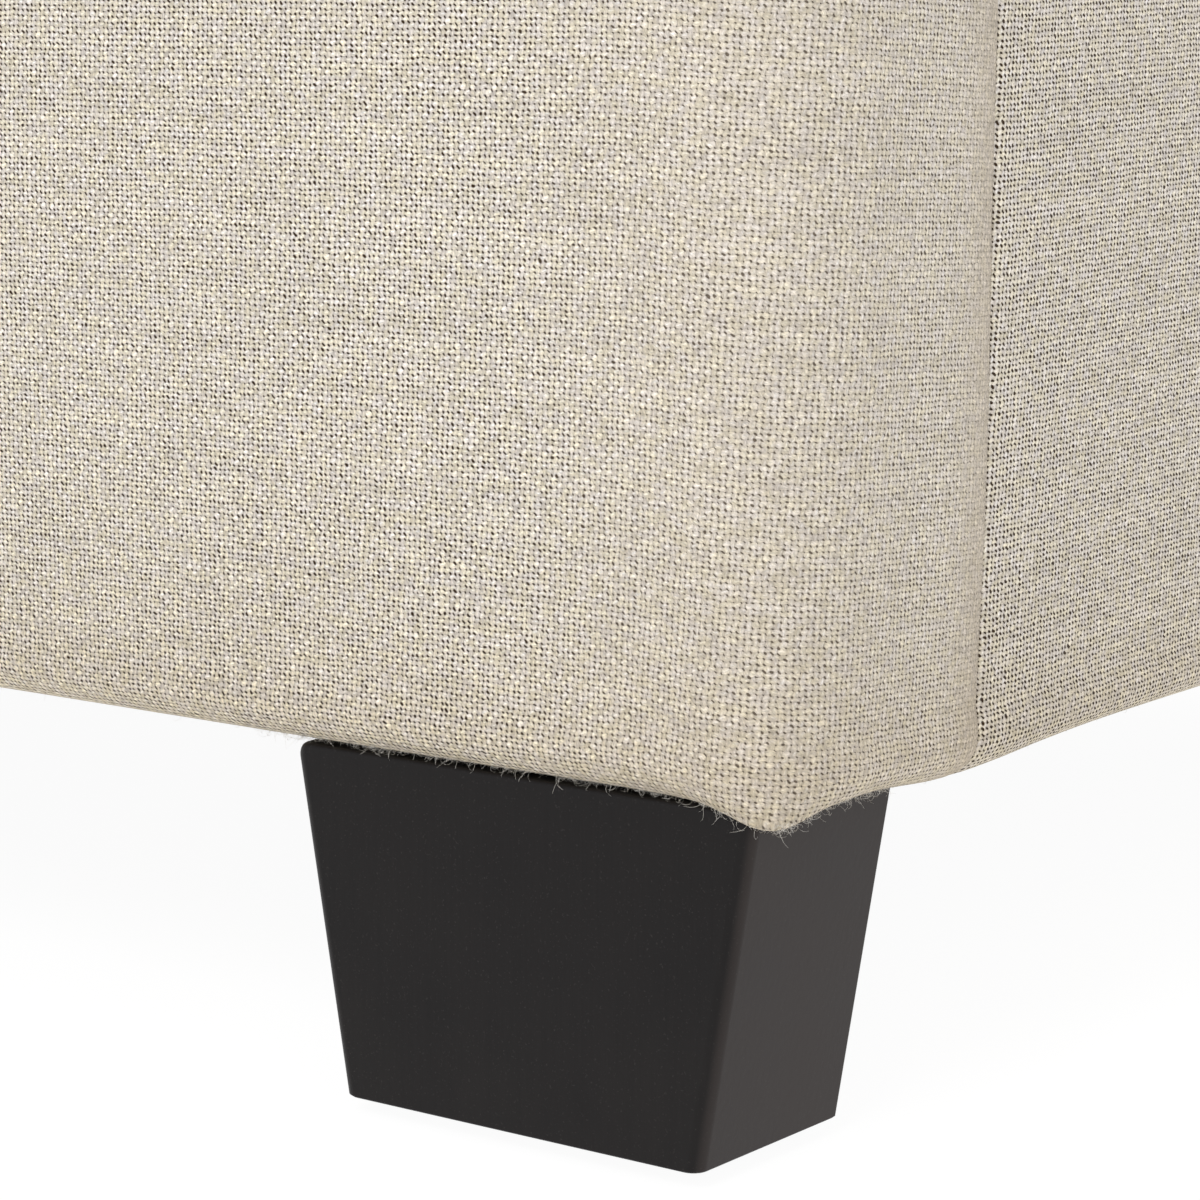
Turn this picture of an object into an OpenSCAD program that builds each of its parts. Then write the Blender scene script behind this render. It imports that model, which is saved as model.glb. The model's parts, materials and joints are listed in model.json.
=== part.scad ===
// Storage ottoman bench: a fabric-covered box on four tapered block feet, with a padded lid that is
// hinged along the back and held open by a gas strut at each end.
// +X runs to the right along the front, -Y is the front, and the origin is on the floor under the middle.

/* [Overall size] */
// Length over the fabric, left to right
ottoman_l = 1070; // [900:10:1300]
// Depth from the front fabric to the back of the hinge knuckles
ottoman_d = 460; // [440:5:520]
// Height from the floor to the top of the lid
ottoman_h = 455; // [430:5:500]
// Thickness of the padded lid
lid_h = 76; // [66:2:86]
// Gap between the closed lid and the rim of the box
lid_gap = 4; // [4:0.5:6]

/* [Upholstery] */
// Thickness of the woven fabric
fabric_t = 1; // [0.8:0.1:1.4]
// Thickness of the padding on the walls of the box
wall_foam_t = 12; // [10:1:14]
// Rounding of the upright corners, at the fabric
corner_r = 20; // [18:1:24]
// Radius of the roll along the bottom edge of the box
roll_r = 10; // [8:1:12]
// Rounding of the rim of the box, and of the lid's lower edge
rim_r = 8; // [6:1:9]
// Rounding of the lid's upper edge
lid_edge_r = 14; // [10:1:18]
// How far the front and rear panels of fabric wrap round to the seams on the ends
seam_setback = 54; // [40:1:80]

/* [Box and lid boards] */
// Thickness of the plywood walls and bottom
panel_t = 15; // [12:1:18]
// Thickness of the lid's board
board_t = 15; // [12:1:18]
// Padding between the lid board's edge and the fabric
board_margin = 8; // [6:1:10]
// Width of the fabric that is turned under the lid
lid_turn_under = 30; // [25:1:40]

/* [Feet] */
// Width of a foot along the front, at its top
foot_w = 90; // [70:1:100]
// How much each narrow side leans in, from top to bottom
foot_taper = 10; // [0:1:14]
// Thickness of a foot, from front to back
foot_t = 38; // [34:1:42]
// Height of a foot without its glide
foot_h = 57; // [40:1:80]
// Setback of a foot from the fabric at the end of the box
foot_end_setback = 10; // [8:1:20]
// Setback of a foot from the front or rear fabric
foot_face_setback = 4; // [2:1:8]
// Height of the plastic glide under a foot
glide_h = 3; // [2:0.5:5]

/* [Hinges and struts] */
// Widest opening of the lid, in degrees
lid_open = 80; // [70:1:85]
// Distance of each hinge from the middle
hinge_x = 330; // [250:5:380]
// Length of a hinge
hinge_l = 76; // [60:4:100]
// Radius of the hinge pin
hinge_pin_r = 1.8; // [1.5:0.1:2.2]
// Distance from the lid's hinge axis to each end of a strut
strut_arm = 200; // [190:5:220]
// Angle between those two arms when the lid is closed
strut_spread = 70; // [66:1:74]
// Radius of the strut's tube
tube_r = 9; // [8:0.5:10]
// Radius of the strut's rod
rod_r = 4; // [3:0.5:5]

/* [Hidden] */

$fn = 64;
LEFT = -1;
RIGHT = 1;
FRONT = -1;
REAR = 1;

linen = [0.80, 0.765, 0.71];
black_wood = [0.16, 0.155, 0.15];
plywood = [0.78, 0.66, 0.48];
foam_white = [0.93, 0.91, 0.84];
lining_grey = [0.30, 0.30, 0.31];
cloth_black = [0.12, 0.12, 0.13];
steel = [0.72, 0.73, 0.75];
black_steel = [0.13, 0.13, 0.14];
black_plastic = [0.15, 0.15, 0.16];

// Radial clearance of pins, rods and screws in their holes
fit = 0.05;
// Extra length that lets a cutting shape run past a face
past = 1;

// Heights
base_bottom = glide_h + foot_h;
base_top = ottoman_h - lid_h - lid_gap;
lid_bottom = base_top + lid_gap;
panel_bottom = base_bottom + fabric_t;
wall_bottom = panel_bottom + panel_t;
wall_top = base_top - fabric_t;

// Hinge axis, at the back between the box and the lid
knuckle_r = 3.6;
knuckle_clear = 0.8;
hinge_y = ottoman_d / 2 - knuckle_r;
hinge_z = base_top + lid_gap / 2;

// The fabric's outer planes, and the centres of the rounded corners
front_y = -ottoman_d / 2;
rear_y = hinge_y - knuckle_r - knuckle_clear;
end_x = ottoman_l / 2;
corner_x = end_x - corner_r;
front_axis = front_y + corner_r;
rear_axis = rear_y - corner_r;
front_seam_y = front_y + seam_setback;
rear_seam_y = rear_y - seam_setback;

// Depths into the wall, measured from the fabric's outer plane
wood_out = fabric_t + wall_foam_t;
wood_in = wood_out + panel_t;
lining_t = 1;
lining_in = wood_in + lining_t;

// Feet
foot_x = end_x - foot_end_setback - foot_w / 2;
foot_y = [front_y + foot_face_setback + foot_t / 2, rear_y - foot_face_setback - foot_t / 2];
foot_bolt_spread = 22;
foot_bolt_r = 4;
foot_bolt_depth = 26;
foot_bolt_reach = 14;
t_nut_barrel_r = 5.2;
t_nut_flange_r = 9.5;
t_nut_flange_t = 1.2;
glide_r = 11;
glide_nail_r = 1.2;
glide_nail_l = 14;

// Screws
screw_r = 2;
screw_head_r = 4;
screw_head_h = 3;
screw_l = 45;
small_screw_l = 15;
// The screws into the end walls sit near the wood's rounded corners, so deep that their heads are flush
wood_corner_r = corner_r - wood_out;
corner_screw_reach = max(0, wood_corner_r - panel_t / 2 + screw_head_r + 2 * fit);
corner_screw_sink = wood_corner_r - sqrt(pow(wood_corner_r, 2) - pow(corner_screw_reach, 2));
corner_screw_x = end_x - wood_out - panel_t / 2;
corner_screw_z = [for (share = [0.12, 0.5, 0.88]) wall_bottom + share * (wall_top - wall_bottom)];
bottom_screw_x = [-0.36, -0.12, 0.12, 0.36] * ottoman_l;
bottom_screw_y = [-0.2, 0.2] * ottoman_d;

// Hinges
leaf_t = 1.6;
leaf_w = 34;
knuckles = 5;
knuckle_l = hinge_l / knuckles;
knuckle_gap = 0.2;
hinge_screw_x = [-0.36, 0, 0.36] * hinge_l;
hinge_screw_y = rear_y - wood_out - panel_t / 2;

// Struts: the lower pivot is on the end wall and the upper pivot is under the lid, each strut_arm from
// the hinge axis, so that a strut always turns by half of the lid's angle
bracket_t = 2;
pivot_drop = 12;
ball_r = 5;
ball_neck_r = 3;
strut_x = end_x - lining_in - bracket_t - 12;
socket_r = 7.5;
socket_tail = 7;
socket_l = 18;
lid_arm_dip = asin(pivot_drop / strut_arm);
lid_pivot = [hinge_y - strut_arm * cos(lid_arm_dip), hinge_z - strut_arm * sin(lid_arm_dip)];
base_arm_dip = lid_arm_dip + strut_spread;
base_pivot = [hinge_y - strut_arm * cos(base_arm_dip), hinge_z - strut_arm * sin(base_arm_dip)];
strut_closed = 2 * strut_arm * sin(strut_spread / 2);
strut_stretched = 2 * strut_arm * sin((strut_spread + lid_open) / 2);
strut_lean = atan2(base_pivot[0] - lid_pivot[0], lid_pivot[1] - base_pivot[1]);
tube_wall = 1.5;
tube_end_t = 5;
guide_t = 7;
tube_end = strut_closed - socket_l - 11;
piston_t = 8;
piston_face = strut_stretched - (tube_end - guide_t - piston_t - 1);

// Bumpers on the rim, at the front corners
bumper_r = 6;
bumper_x = end_x - 35;
bumper_slack = 0.2;

// ---- Sections of the padded wall, drawn as (distance out from a corner's centre, height) ----

// Upright section with its two outer corners rounded
module rounded_section(inner, outer, low, high, low_r, high_r) {
    middle = (low + high) / 2;
    intersection() {
        translate([inner, low]) square([outer - inner, high - low]);
        union() {
            translate([inner, low]) square([outer - low_r - inner, middle - low]);
            translate([inner, middle]) square([outer - high_r - inner, high - middle]);
            translate([inner, low + low_r]) square([outer - inner, high - high_r - low - low_r]);
            translate([outer - low_r, low + low_r]) circle(low_r);
            translate([outer - high_r, high - high_r]) circle(high_r);
        }
    }
}

// Wall of the box, set in from the fabric's outer surface
module wall_section(inset, inner) {
    rounded_section(
        inner, corner_r - inset,
        base_bottom + inset, base_top - inset,
        roll_r - inset, rim_r - inset
    );
}

// Edge of the lid, set in from the fabric's outer surface
module lid_section(inset, inner) {
    rounded_section(
        inner, corner_r - inset,
        lid_bottom + inset, ottoman_h - inset,
        rim_r - inset, lid_edge_r - inset
    );
}

// Fabric that covers the outside and turns in over the rim and under the bottom
module fabric_section(inner) {
    difference() {
        wall_section(0, inner);
        wall_section(fabric_t, inner - past);
    }
}

// Padding between the fabric and the wood
module foam_section() {
    wall_section(fabric_t, corner_r - wood_out);
}

// ---- Sweeps of a section along the sides and round the corners of the box ----

module front_run() {
    translate([corner_x, front_axis, 0]) rotate([90, 0, -90]) linear_extrude(2 * corner_x) children();
}

module rear_run() {
    translate([-corner_x, rear_axis, 0]) rotate([90, 0, 90]) linear_extrude(2 * corner_x) children();
}

module end_run(side, from_y, to_y) {
    mirror([side == LEFT ? 1 : 0, 0, 0])
        translate([corner_x, to_y, 0]) rotate([90, 0, 0]) linear_extrude(to_y - from_y) children();
}

module corner_turn(side, face) {
    mirror([side == LEFT ? 1 : 0, 0, 0])
        translate([corner_x, face == FRONT ? front_axis : rear_axis, 0])
            rotate([0, 0, face == FRONT ? -90 : 0]) rotate_extrude(angle = 90) children();
}

// ---- Common shapes ----

// Plan of the box, set in from the fabric's outer planes
module box_plan(inset, r) {
    low = [-end_x + inset, front_y + inset];
    high = [end_x - inset, rear_y - inset];
    translate(low + [r, 0]) square([high[0] - low[0] - 2 * r, high[1] - low[1]]);
    translate(low + [0, r]) square([high[0] - low[0], high[1] - low[1] - 2 * r]);
    for (x = [low[0] + r, high[0] - r])
        for (y = [low[1] + r, high[1] - r])
            translate([x, y]) circle(r);
}

// Block between two plan corners and two heights
module block(low, high) {
    translate(low) cube(high - low);
}

// Countersunk screw, or its hole, pointing along -Z with the top of the head at the origin.
// A hole is wider by slack and goes on above the head.
module screw_shape(length, head_h, slack, above) {
    tip = -length - slack;
    shank = screw_r + slack;
    head = screw_head_r + 2 * slack;
    rotate_extrude() polygon(concat(
        [[0, tip], [shank, tip], [shank, -head_h], [head, 0]],
        above > 0 ? [[head, above], [0, above]] : [[0, 0]]
    ));
}

module screw() {
    screw_shape(screw_l, screw_head_h, 0, 0);
}

module screw_hole() {
    screw_shape(screw_l, screw_head_h, fit, corner_screw_sink + past);
}

// Small screw, whose head is no thicker than a hinge leaf
module small_screw() {
    screw_shape(small_screw_l, leaf_t, 0, 0);
}

module small_screw_hole() {
    screw_shape(small_screw_l, leaf_t, fit, lid_gap / 8);
}

// ---- Places of the screws, bolts and pivots ----

// The screws that join the front and rear walls to the end walls
module at_corner_screws() {
    for (side = [LEFT, RIGHT])
        for (z = corner_screw_z) {
            translate([side * corner_screw_x, front_y + wood_out + corner_screw_sink, z])
                rotate([90, 0, 0]) children();
            translate([side * corner_screw_x, rear_y - wood_out - corner_screw_sink, z])
                rotate([-90, 0, 0]) children();
        }
}

// The screws that hold the bottom to the walls, from below
module at_bottom_screws() {
    for (y = [front_y + wood_out + panel_t / 2, rear_y - wood_out - panel_t / 2])
        for (x = bottom_screw_x)
            translate([x, y, panel_bottom]) rotate([180, 0, 0]) children();
    for (side = [LEFT, RIGHT])
        for (y = bottom_screw_y)
            translate([side * (end_x - wood_out - panel_t / 2), y, panel_bottom])
                rotate([180, 0, 0]) children();
}

// Both bolts of each foot, at the level of the foot's top
module at_foot_bolts() {
    for (side = [LEFT, RIGHT])
        for (y = foot_y)
            for (shift = [-foot_bolt_spread, foot_bolt_spread])
                translate([side * foot_x + shift, y, base_bottom]) children();
}

module at_base_hinge_screws() {
    for (side = [LEFT, RIGHT])
        for (shift = hinge_screw_x)
            translate([side * hinge_x + shift, hinge_screw_y, base_top + leaf_t]) children();
}

module at_lid_hinge_screws() {
    for (side = [LEFT, RIGHT])
        for (shift = hinge_screw_x)
            translate([side * hinge_x + shift, hinge_screw_y, lid_bottom - leaf_t])
                rotate([180, 0, 0]) children();
}

module at_base_bracket_screws() {
    for (side = [LEFT, RIGHT])
        for (shift = [-12, 12])
            mirror([side == LEFT ? 1 : 0, 0, 0])
                translate([end_x - lining_in - bracket_t, base_pivot[0], base_pivot[1] + shift])
                    rotate([0, -90, 0]) children();
}

module at_lid_bracket_screws() {
    for (side = [LEFT, RIGHT])
        for (shift = [-9, 9])
            mirror([side == LEFT ? 1 : 0, 0, 0])
                translate([strut_x - 6, lid_pivot[0] + shift, lid_bottom - bracket_t])
                    rotate([180, 0, 0]) children();
}

// A strut's own frame: its lower pivot is the origin and +Z points to the upper pivot
module along_strut(side) {
    mirror([side == LEFT ? 1 : 0, 0, 0])
        translate([strut_x, base_pivot[0], base_pivot[1]]) rotate([strut_lean, 0, 0]) children();
}

// ---- Box ----

module bottom_panel() {
    color(plywood) difference() {
        translate([0, 0, panel_bottom]) linear_extrude(panel_t) box_plan(wood_out, wood_corner_r);
        at_bottom_screws() screw_hole();
        at_foot_bolts() {
            cylinder(h = panel_t + 2 * past, r = t_nut_barrel_r);
            translate([0, 0, fabric_t + panel_t - t_nut_flange_t])
                cylinder(h = t_nut_flange_t + past, r = t_nut_flange_r);
        }
    }
}

// Front or rear wall, whose outer upright edges are rounded
module long_wall(face) {
    outer_y = face == FRONT ? front_y + wood_out : rear_y - wood_out;
    inner_y = face == FRONT ? front_y + wood_in : rear_y - wood_in;
    color(plywood) difference() {
        translate([0, 0, wall_bottom]) linear_extrude(wall_top - wall_bottom) intersection() {
            box_plan(wood_out, wood_corner_r);
            translate([-end_x, min(outer_y, inner_y)]) square([2 * end_x, panel_t]);
        }
        at_corner_screws() screw_hole();
        at_bottom_screws() screw_hole();
        if (face == REAR) at_base_hinge_screws() small_screw_hole();
    }
}

module end_wall(side) {
    color(plywood) difference() {
        mirror([side == LEFT ? 1 : 0, 0, 0]) block(
            [end_x - wood_in, front_y + wood_in, wall_bottom],
            [end_x - wood_out, rear_y - wood_in, wall_top]
        );
        at_corner_screws() screw_hole();
        at_bottom_screws() screw_hole();
        at_base_bracket_screws() small_screw_hole();
    }
}

module corner_screws() {
    color(steel) at_corner_screws() screw();
}

module bottom_screws() {
    color(steel) at_bottom_screws() screw();
}

// ---- Padding and fabric of the box ----

module long_foam(face) {
    color(foam_white) {
        if (face == FRONT) front_run() foam_section();
        if (face == REAR) rear_run() foam_section();
        for (side = [LEFT, RIGHT]) corner_turn(side, face) foam_section();
    }
}

module end_foam(side) {
    color(foam_white) end_run(side, front_axis, rear_axis) foam_section();
}

module long_cover(face) {
    color(linen) difference() {
        union() {
            if (face == FRONT) front_run() fabric_section(corner_r - wood_in);
            if (face == REAR) rear_run() fabric_section(corner_r - wood_in);
            for (side = [LEFT, RIGHT]) {
                corner_turn(side, face) fabric_section(0);
                if (face == FRONT)
                    end_run(side, front_axis, front_seam_y) fabric_section(corner_r - wood_in);
                if (face == REAR)
                    end_run(side, rear_seam_y, rear_axis) fabric_section(corner_r - wood_in);
            }
        }
        translate([0, 0, -past]) at_foot_bolts() cylinder(h = fabric_t + 2 * past, r = t_nut_barrel_r);
        if (face == REAR) at_base_hinge_screws() small_screw_hole();
    }
}

module end_cover(side) {
    color(linen) end_run(side, front_seam_y, rear_seam_y) fabric_section(corner_r - wood_in);
}

module wall_lining() {
    low = [-end_x + wood_in, front_y + wood_in, wall_bottom];
    high = [end_x - wood_in, rear_y - wood_in, wall_top];
    color(lining_grey) difference() {
        block(low, high);
        block(low + [lining_t, lining_t, -past], high + [-lining_t, -lining_t, past]);
        at_base_bracket_screws() small_screw_hole();
    }
}

module floor_lining() {
    color(lining_grey) block(
        [-end_x + lining_in, front_y + lining_in, wall_bottom],
        [end_x - lining_in, rear_y - lining_in, wall_bottom + lining_t]
    );
}

module dust_cover() {
    color(cloth_black) difference() {
        block(
            [-end_x + wood_in, front_y + wood_in, base_bottom],
            [end_x - wood_in, rear_y - wood_in, panel_bottom]
        );
        translate([0, 0, -past]) at_foot_bolts() cylinder(h = fabric_t + 2 * past, r = t_nut_barrel_r);
    }
}

// ---- Feet ----

module foot(side, y) {
    half_top = foot_w / 2;
    half_bottom = half_top - foot_taper;
    color(black_wood) difference() {
        translate([side * foot_x, y + foot_t / 2, glide_h]) rotate([90, 0, 0]) linear_extrude(foot_t)
            polygon([[-half_bottom, 0], [half_bottom, 0], [half_top, foot_h], [-half_top, foot_h]]);
        at_foot_bolts() translate([0, 0, -foot_bolt_depth])
            cylinder(h = foot_bolt_depth + past, r = foot_bolt_r + fit);
        translate([side * foot_x, y, 0]) cylinder(h = glide_h + glide_nail_l, r = glide_nail_r + fit);
    }
}

module foot_bolts() {
    color(steel) at_foot_bolts() translate([0, 0, -foot_bolt_depth])
        cylinder(h = foot_bolt_depth + foot_bolt_reach, r = foot_bolt_r);
}

module t_nuts() {
    flange_bottom = fabric_t + panel_t - t_nut_flange_t;
    color(steel) at_foot_bolts() difference() {
        union() {
            translate([0, 0, fabric_t + past])
                cylinder(h = flange_bottom - fabric_t - past, r = t_nut_barrel_r - fit);
            translate([0, 0, flange_bottom]) cylinder(h = t_nut_flange_t, r = t_nut_flange_r - fit);
        }
        cylinder(h = panel_t + 2 * past, r = foot_bolt_r + fit);
    }
}

module glides() {
    color(black_plastic) for (side = [LEFT, RIGHT]) for (y = foot_y) translate([side * foot_x, y, 0]) {
        cylinder(h = glide_h, r = glide_r);
        cylinder(h = glide_h + glide_nail_l, r = glide_nail_r);
    }
}

module bumpers() {
    color(black_plastic) for (side = [LEFT, RIGHT])
        translate([side * bumper_x, front_y + wood_out + panel_t / 2, base_top])
            cylinder(h = lid_gap - bumper_slack, r = bumper_r);
}

// ---- Hinges ----

// One leaf of a hinge with the knuckles that turn on its part of the pin. Odd knuckles are the lid's.
module hinge_leaf(side, of_lid) {
    leaf_z = of_lid ? lid_bottom - leaf_t : base_top;
    root_y = hinge_y - knuckle_r - knuckle_clear / 2;
    first = of_lid ? 1 : 0;
    color(steel) difference() {
        translate([side * hinge_x - hinge_l / 2, 0, 0]) {
            translate([0, hinge_y - leaf_w, leaf_z]) cube([hinge_l, root_y - hinge_y + leaf_w, leaf_t]);
            for (k = [first : 2 : knuckles - 1])
                translate([k * knuckle_l + knuckle_gap, 0, 0]) {
                    translate([0, hinge_y, hinge_z]) rotate([0, 90, 0])
                        cylinder(h = knuckle_l - 2 * knuckle_gap, r = knuckle_r);
                    translate([0, root_y - past, leaf_z])
                        cube([knuckle_l - 2 * knuckle_gap, hinge_y - root_y + past, leaf_t]);
                }
        }
        translate([side * hinge_x - hinge_l / 2 - past, hinge_y, hinge_z]) rotate([0, 90, 0])
            cylinder(h = hinge_l + 2 * past, r = hinge_pin_r + fit);
        if (of_lid) at_lid_hinge_screws() small_screw_hole();
        if (!of_lid) at_base_hinge_screws() small_screw_hole();
    }
}

module hinge_pin(side) {
    color(steel) translate([side * hinge_x - hinge_l / 2, hinge_y, hinge_z]) rotate([0, 90, 0])
        cylinder(h = hinge_l, r = hinge_pin_r);
}

module base_hinge_screws() {
    color(steel) at_base_hinge_screws() small_screw();
}

module lid_hinge_screws() {
    color(steel) at_lid_hinge_screws() small_screw();
}

// ---- Struts and their brackets ----

// Ball on a neck that stands out of a bracket face towards the middle of the ottoman
module ball_stud(pivot, face_x) {
    translate([strut_x, pivot[0], pivot[1]]) {
        sphere(ball_r);
        rotate([0, 90, 0]) cylinder(h = face_x - strut_x + bracket_t / 2, r = ball_neck_r);
    }
}

module base_bracket(side) {
    face_x = end_x - lining_in - bracket_t;
    color(black_steel) difference() {
        mirror([side == LEFT ? 1 : 0, 0, 0]) {
            block(
                [face_x, base_pivot[0] - 12, base_pivot[1] - 20],
                [face_x + bracket_t, base_pivot[0] + 12, base_pivot[1] + 20]
            );
            ball_stud(base_pivot, face_x);
        }
        at_base_bracket_screws() small_screw_hole();
    }
}

// Angle bracket, screwed flat under the lid
module lid_bracket(side) {
    face_x = strut_x + 10;
    color(black_steel) difference() {
        mirror([side == LEFT ? 1 : 0, 0, 0]) {
            block(
                [face_x, lid_pivot[0] - 15, lid_pivot[1] - 9],
                [face_x + bracket_t, lid_pivot[0] + 15, lid_bottom]
            );
            block(
                [strut_x - 14, lid_pivot[0] - 15, lid_bottom - bracket_t],
                [face_x + bracket_t, lid_pivot[0] + 15, lid_bottom]
            );
            ball_stud(lid_pivot, face_x);
        }
        at_lid_bracket_screws() small_screw_hole();
    }
}

module base_bracket_screws() {
    color(steel) at_base_bracket_screws() small_screw();
}

module lid_bracket_screws() {
    color(steel) at_lid_bracket_screws() small_screw();
}

// Plastic end socket, which snaps over a ball from the side
module ball_socket() {
    color(black_plastic) difference() {
        translate([0, 0, -socket_tail]) cylinder(h = socket_tail + socket_l, r = socket_r);
        sphere(ball_r + fit);
        rotate([0, 90, 0]) cylinder(h = socket_r + past, r = ball_r + fit);
    }
}

module tube_socket(side) {
    along_strut(side) ball_socket();
}

module rod_socket(side) {
    along_strut(side) translate([0, 0, strut_closed]) rotate([0, 0, 180]) mirror([1, 0, 0])
        rotate([180, 0, 0]) ball_socket();
}

module strut_tube(side) {
    color(black_steel) along_strut(side) difference() {
        translate([0, 0, socket_l]) cylinder(h = tube_end - socket_l, r = tube_r);
        translate([0, 0, socket_l + tube_end_t]) cylinder(h = tube_end, r = tube_r - tube_wall);
    }
}

module strut_guide(side) {
    color(black_plastic) along_strut(side) translate([0, 0, tube_end - guide_t]) difference() {
        cylinder(h = guide_t, r = tube_r - tube_wall);
        translate([0, 0, -past]) cylinder(h = guide_t + 2 * past, r = rod_r + fit);
    }
}

module strut_rod(side) {
    rod_l = piston_face - piston_t - socket_l;
    color(steel) along_strut(side) translate([0, 0, strut_closed - socket_l - rod_l])
        cylinder(h = rod_l, r = rod_r);
}

module strut_piston(side) {
    color(black_plastic) along_strut(side) translate([0, 0, strut_closed - piston_face])
        cylinder(h = piston_t, r = tube_r - tube_wall - fit);
}

// ---- Lid ----

// Padded slab of the lid, set in from the fabric's outer surface, with rounded edges and corners
module lid_slab(inset) {
    front_run() lid_section(inset, -past);
    rear_run() lid_section(inset, -past);
    for (side = [LEFT, RIGHT]) {
        end_run(side, front_axis, rear_axis) lid_section(inset, -past);
        for (face = [FRONT, REAR]) corner_turn(side, face) lid_section(inset, 0);
    }
    block([-corner_x, front_axis, lid_bottom + inset], [corner_x, rear_axis, ottoman_h - inset]);
}

module lid_board() {
    color(plywood) difference() {
        translate([0, 0, lid_bottom + lining_t]) linear_extrude(board_t)
            box_plan(board_margin, corner_r - board_margin);
        at_lid_hinge_screws() small_screw_hole();
        at_lid_bracket_screws() small_screw_hole();
    }
}

// Foam on top of the board and round its edges
module lid_foam() {
    color(foam_white) difference() {
        lid_slab(fabric_t);
        translate([0, 0, lid_bottom]) linear_extrude(lining_t + board_t)
            box_plan(board_margin, corner_r - board_margin);
    }
}

// Height of the seam between the lid's border and its top
lid_seam_z = ottoman_h - lid_edge_r;

module lid_shell() {
    difference() {
        lid_slab(0);
        lid_slab(fabric_t);
        translate([0, 0, lid_bottom - past]) linear_extrude(lining_t + past + fit)
            box_plan(lid_turn_under, 1);
    }
}

module lid_top_cover() {
    color(linen) difference() {
        lid_shell();
        block([-end_x - past, front_y - past, lid_bottom - past], [end_x + past, rear_y + past, lid_seam_z]);
    }
}

module lid_border_cover() {
    color(linen) difference() {
        lid_shell();
        block([-end_x - past, front_y - past, lid_seam_z], [end_x + past, rear_y + past, ottoman_h + past]);
        at_lid_hinge_screws() small_screw_hole();
    }
}

module lid_lining() {
    color(lining_grey) difference() {
        translate([0, 0, lid_bottom]) linear_extrude(lining_t) box_plan(lid_turn_under, 1);
        at_lid_hinge_screws() small_screw_hole();
        at_lid_bracket_screws() small_screw_hole();
    }
}

// ---- Assembly ----

bottom_panel();
long_wall(FRONT);  // front_panel
long_wall(REAR);  // rear_panel
end_wall(LEFT);  // left_panel
end_wall(RIGHT);  // right_panel
corner_screws();
bottom_screws();
long_foam(FRONT);  // front_foam
long_foam(REAR);  // rear_foam
end_foam(LEFT);  // left_foam
end_foam(RIGHT);  // right_foam
long_cover(FRONT);  // front_cover
long_cover(REAR);  // rear_cover
end_cover(LEFT);  // left_cover
end_cover(RIGHT);  // right_cover
wall_lining();
floor_lining();
dust_cover();
foot(LEFT, foot_y[0]);  // front_left_foot
foot(RIGHT, foot_y[0]);  // front_right_foot
foot(LEFT, foot_y[1]);  // rear_left_foot
foot(RIGHT, foot_y[1]);  // rear_right_foot
foot_bolts();
t_nuts();
glides();
bumpers();
hinge_leaf(LEFT, false);  // left_hinge_base_leaf
hinge_leaf(RIGHT, false);  // right_hinge_base_leaf
hinge_pin(LEFT);  // left_hinge_pin
hinge_pin(RIGHT);  // right_hinge_pin
base_hinge_screws();
base_bracket(LEFT);  // left_base_bracket
base_bracket(RIGHT);  // right_base_bracket
base_bracket_screws();
lid_board();
lid_foam();
lid_top_cover();
lid_border_cover();
lid_lining();
hinge_leaf(LEFT, true);  // left_hinge_lid_leaf
hinge_leaf(RIGHT, true);  // right_hinge_lid_leaf
lid_hinge_screws();
lid_bracket(LEFT);  // left_lid_bracket
lid_bracket(RIGHT);  // right_lid_bracket
lid_bracket_screws();
strut_tube(LEFT);  // left_strut_tube
strut_tube(RIGHT);  // right_strut_tube
strut_guide(LEFT);  // left_strut_guide
strut_guide(RIGHT);  // right_strut_guide
tube_socket(LEFT);  // left_tube_socket
tube_socket(RIGHT);  // right_tube_socket
strut_rod(LEFT);  // left_strut_rod
strut_rod(RIGHT);  // right_strut_rod
strut_piston(LEFT);  // left_strut_piston
strut_piston(RIGHT);  // right_strut_piston
rod_socket(LEFT);  // left_rod_socket
rod_socket(RIGHT);  // right_rod_socket
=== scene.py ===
import json
import math

import bmesh
import bpy
import numpy as np
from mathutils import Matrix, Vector


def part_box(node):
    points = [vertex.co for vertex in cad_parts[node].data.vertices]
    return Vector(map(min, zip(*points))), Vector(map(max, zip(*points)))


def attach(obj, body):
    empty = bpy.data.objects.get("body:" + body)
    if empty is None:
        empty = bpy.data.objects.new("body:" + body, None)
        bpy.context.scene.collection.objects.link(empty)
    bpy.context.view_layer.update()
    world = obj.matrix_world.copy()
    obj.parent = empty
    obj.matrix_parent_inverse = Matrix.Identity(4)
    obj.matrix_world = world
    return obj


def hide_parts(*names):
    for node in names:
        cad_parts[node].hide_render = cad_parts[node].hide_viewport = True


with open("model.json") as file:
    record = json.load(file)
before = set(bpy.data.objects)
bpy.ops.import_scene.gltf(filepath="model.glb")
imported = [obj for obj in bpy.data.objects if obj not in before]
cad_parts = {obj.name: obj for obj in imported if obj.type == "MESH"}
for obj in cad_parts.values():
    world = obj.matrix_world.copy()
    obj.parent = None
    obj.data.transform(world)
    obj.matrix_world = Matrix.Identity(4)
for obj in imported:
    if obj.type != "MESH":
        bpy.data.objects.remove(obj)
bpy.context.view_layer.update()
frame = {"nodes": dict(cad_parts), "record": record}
rng = np.random.default_rng(7)
scene = bpy.context.scene
scene.view_settings.view_transform = "Standard"

# ---- Places, from the frame ----

MM = 0.001
QUARTER = math.pi / 2
CORNER_R = 20 * MM
ROLL_R = 10 * MM
RIM_R = 8 * MM
LID_EDGE_R = 14 * MM
TURN_IN = 28 * MM
LID_TURN = 30 * MM
CLOTH_T = 0.9 * MM
LINING_T = 0.8 * MM

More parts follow.
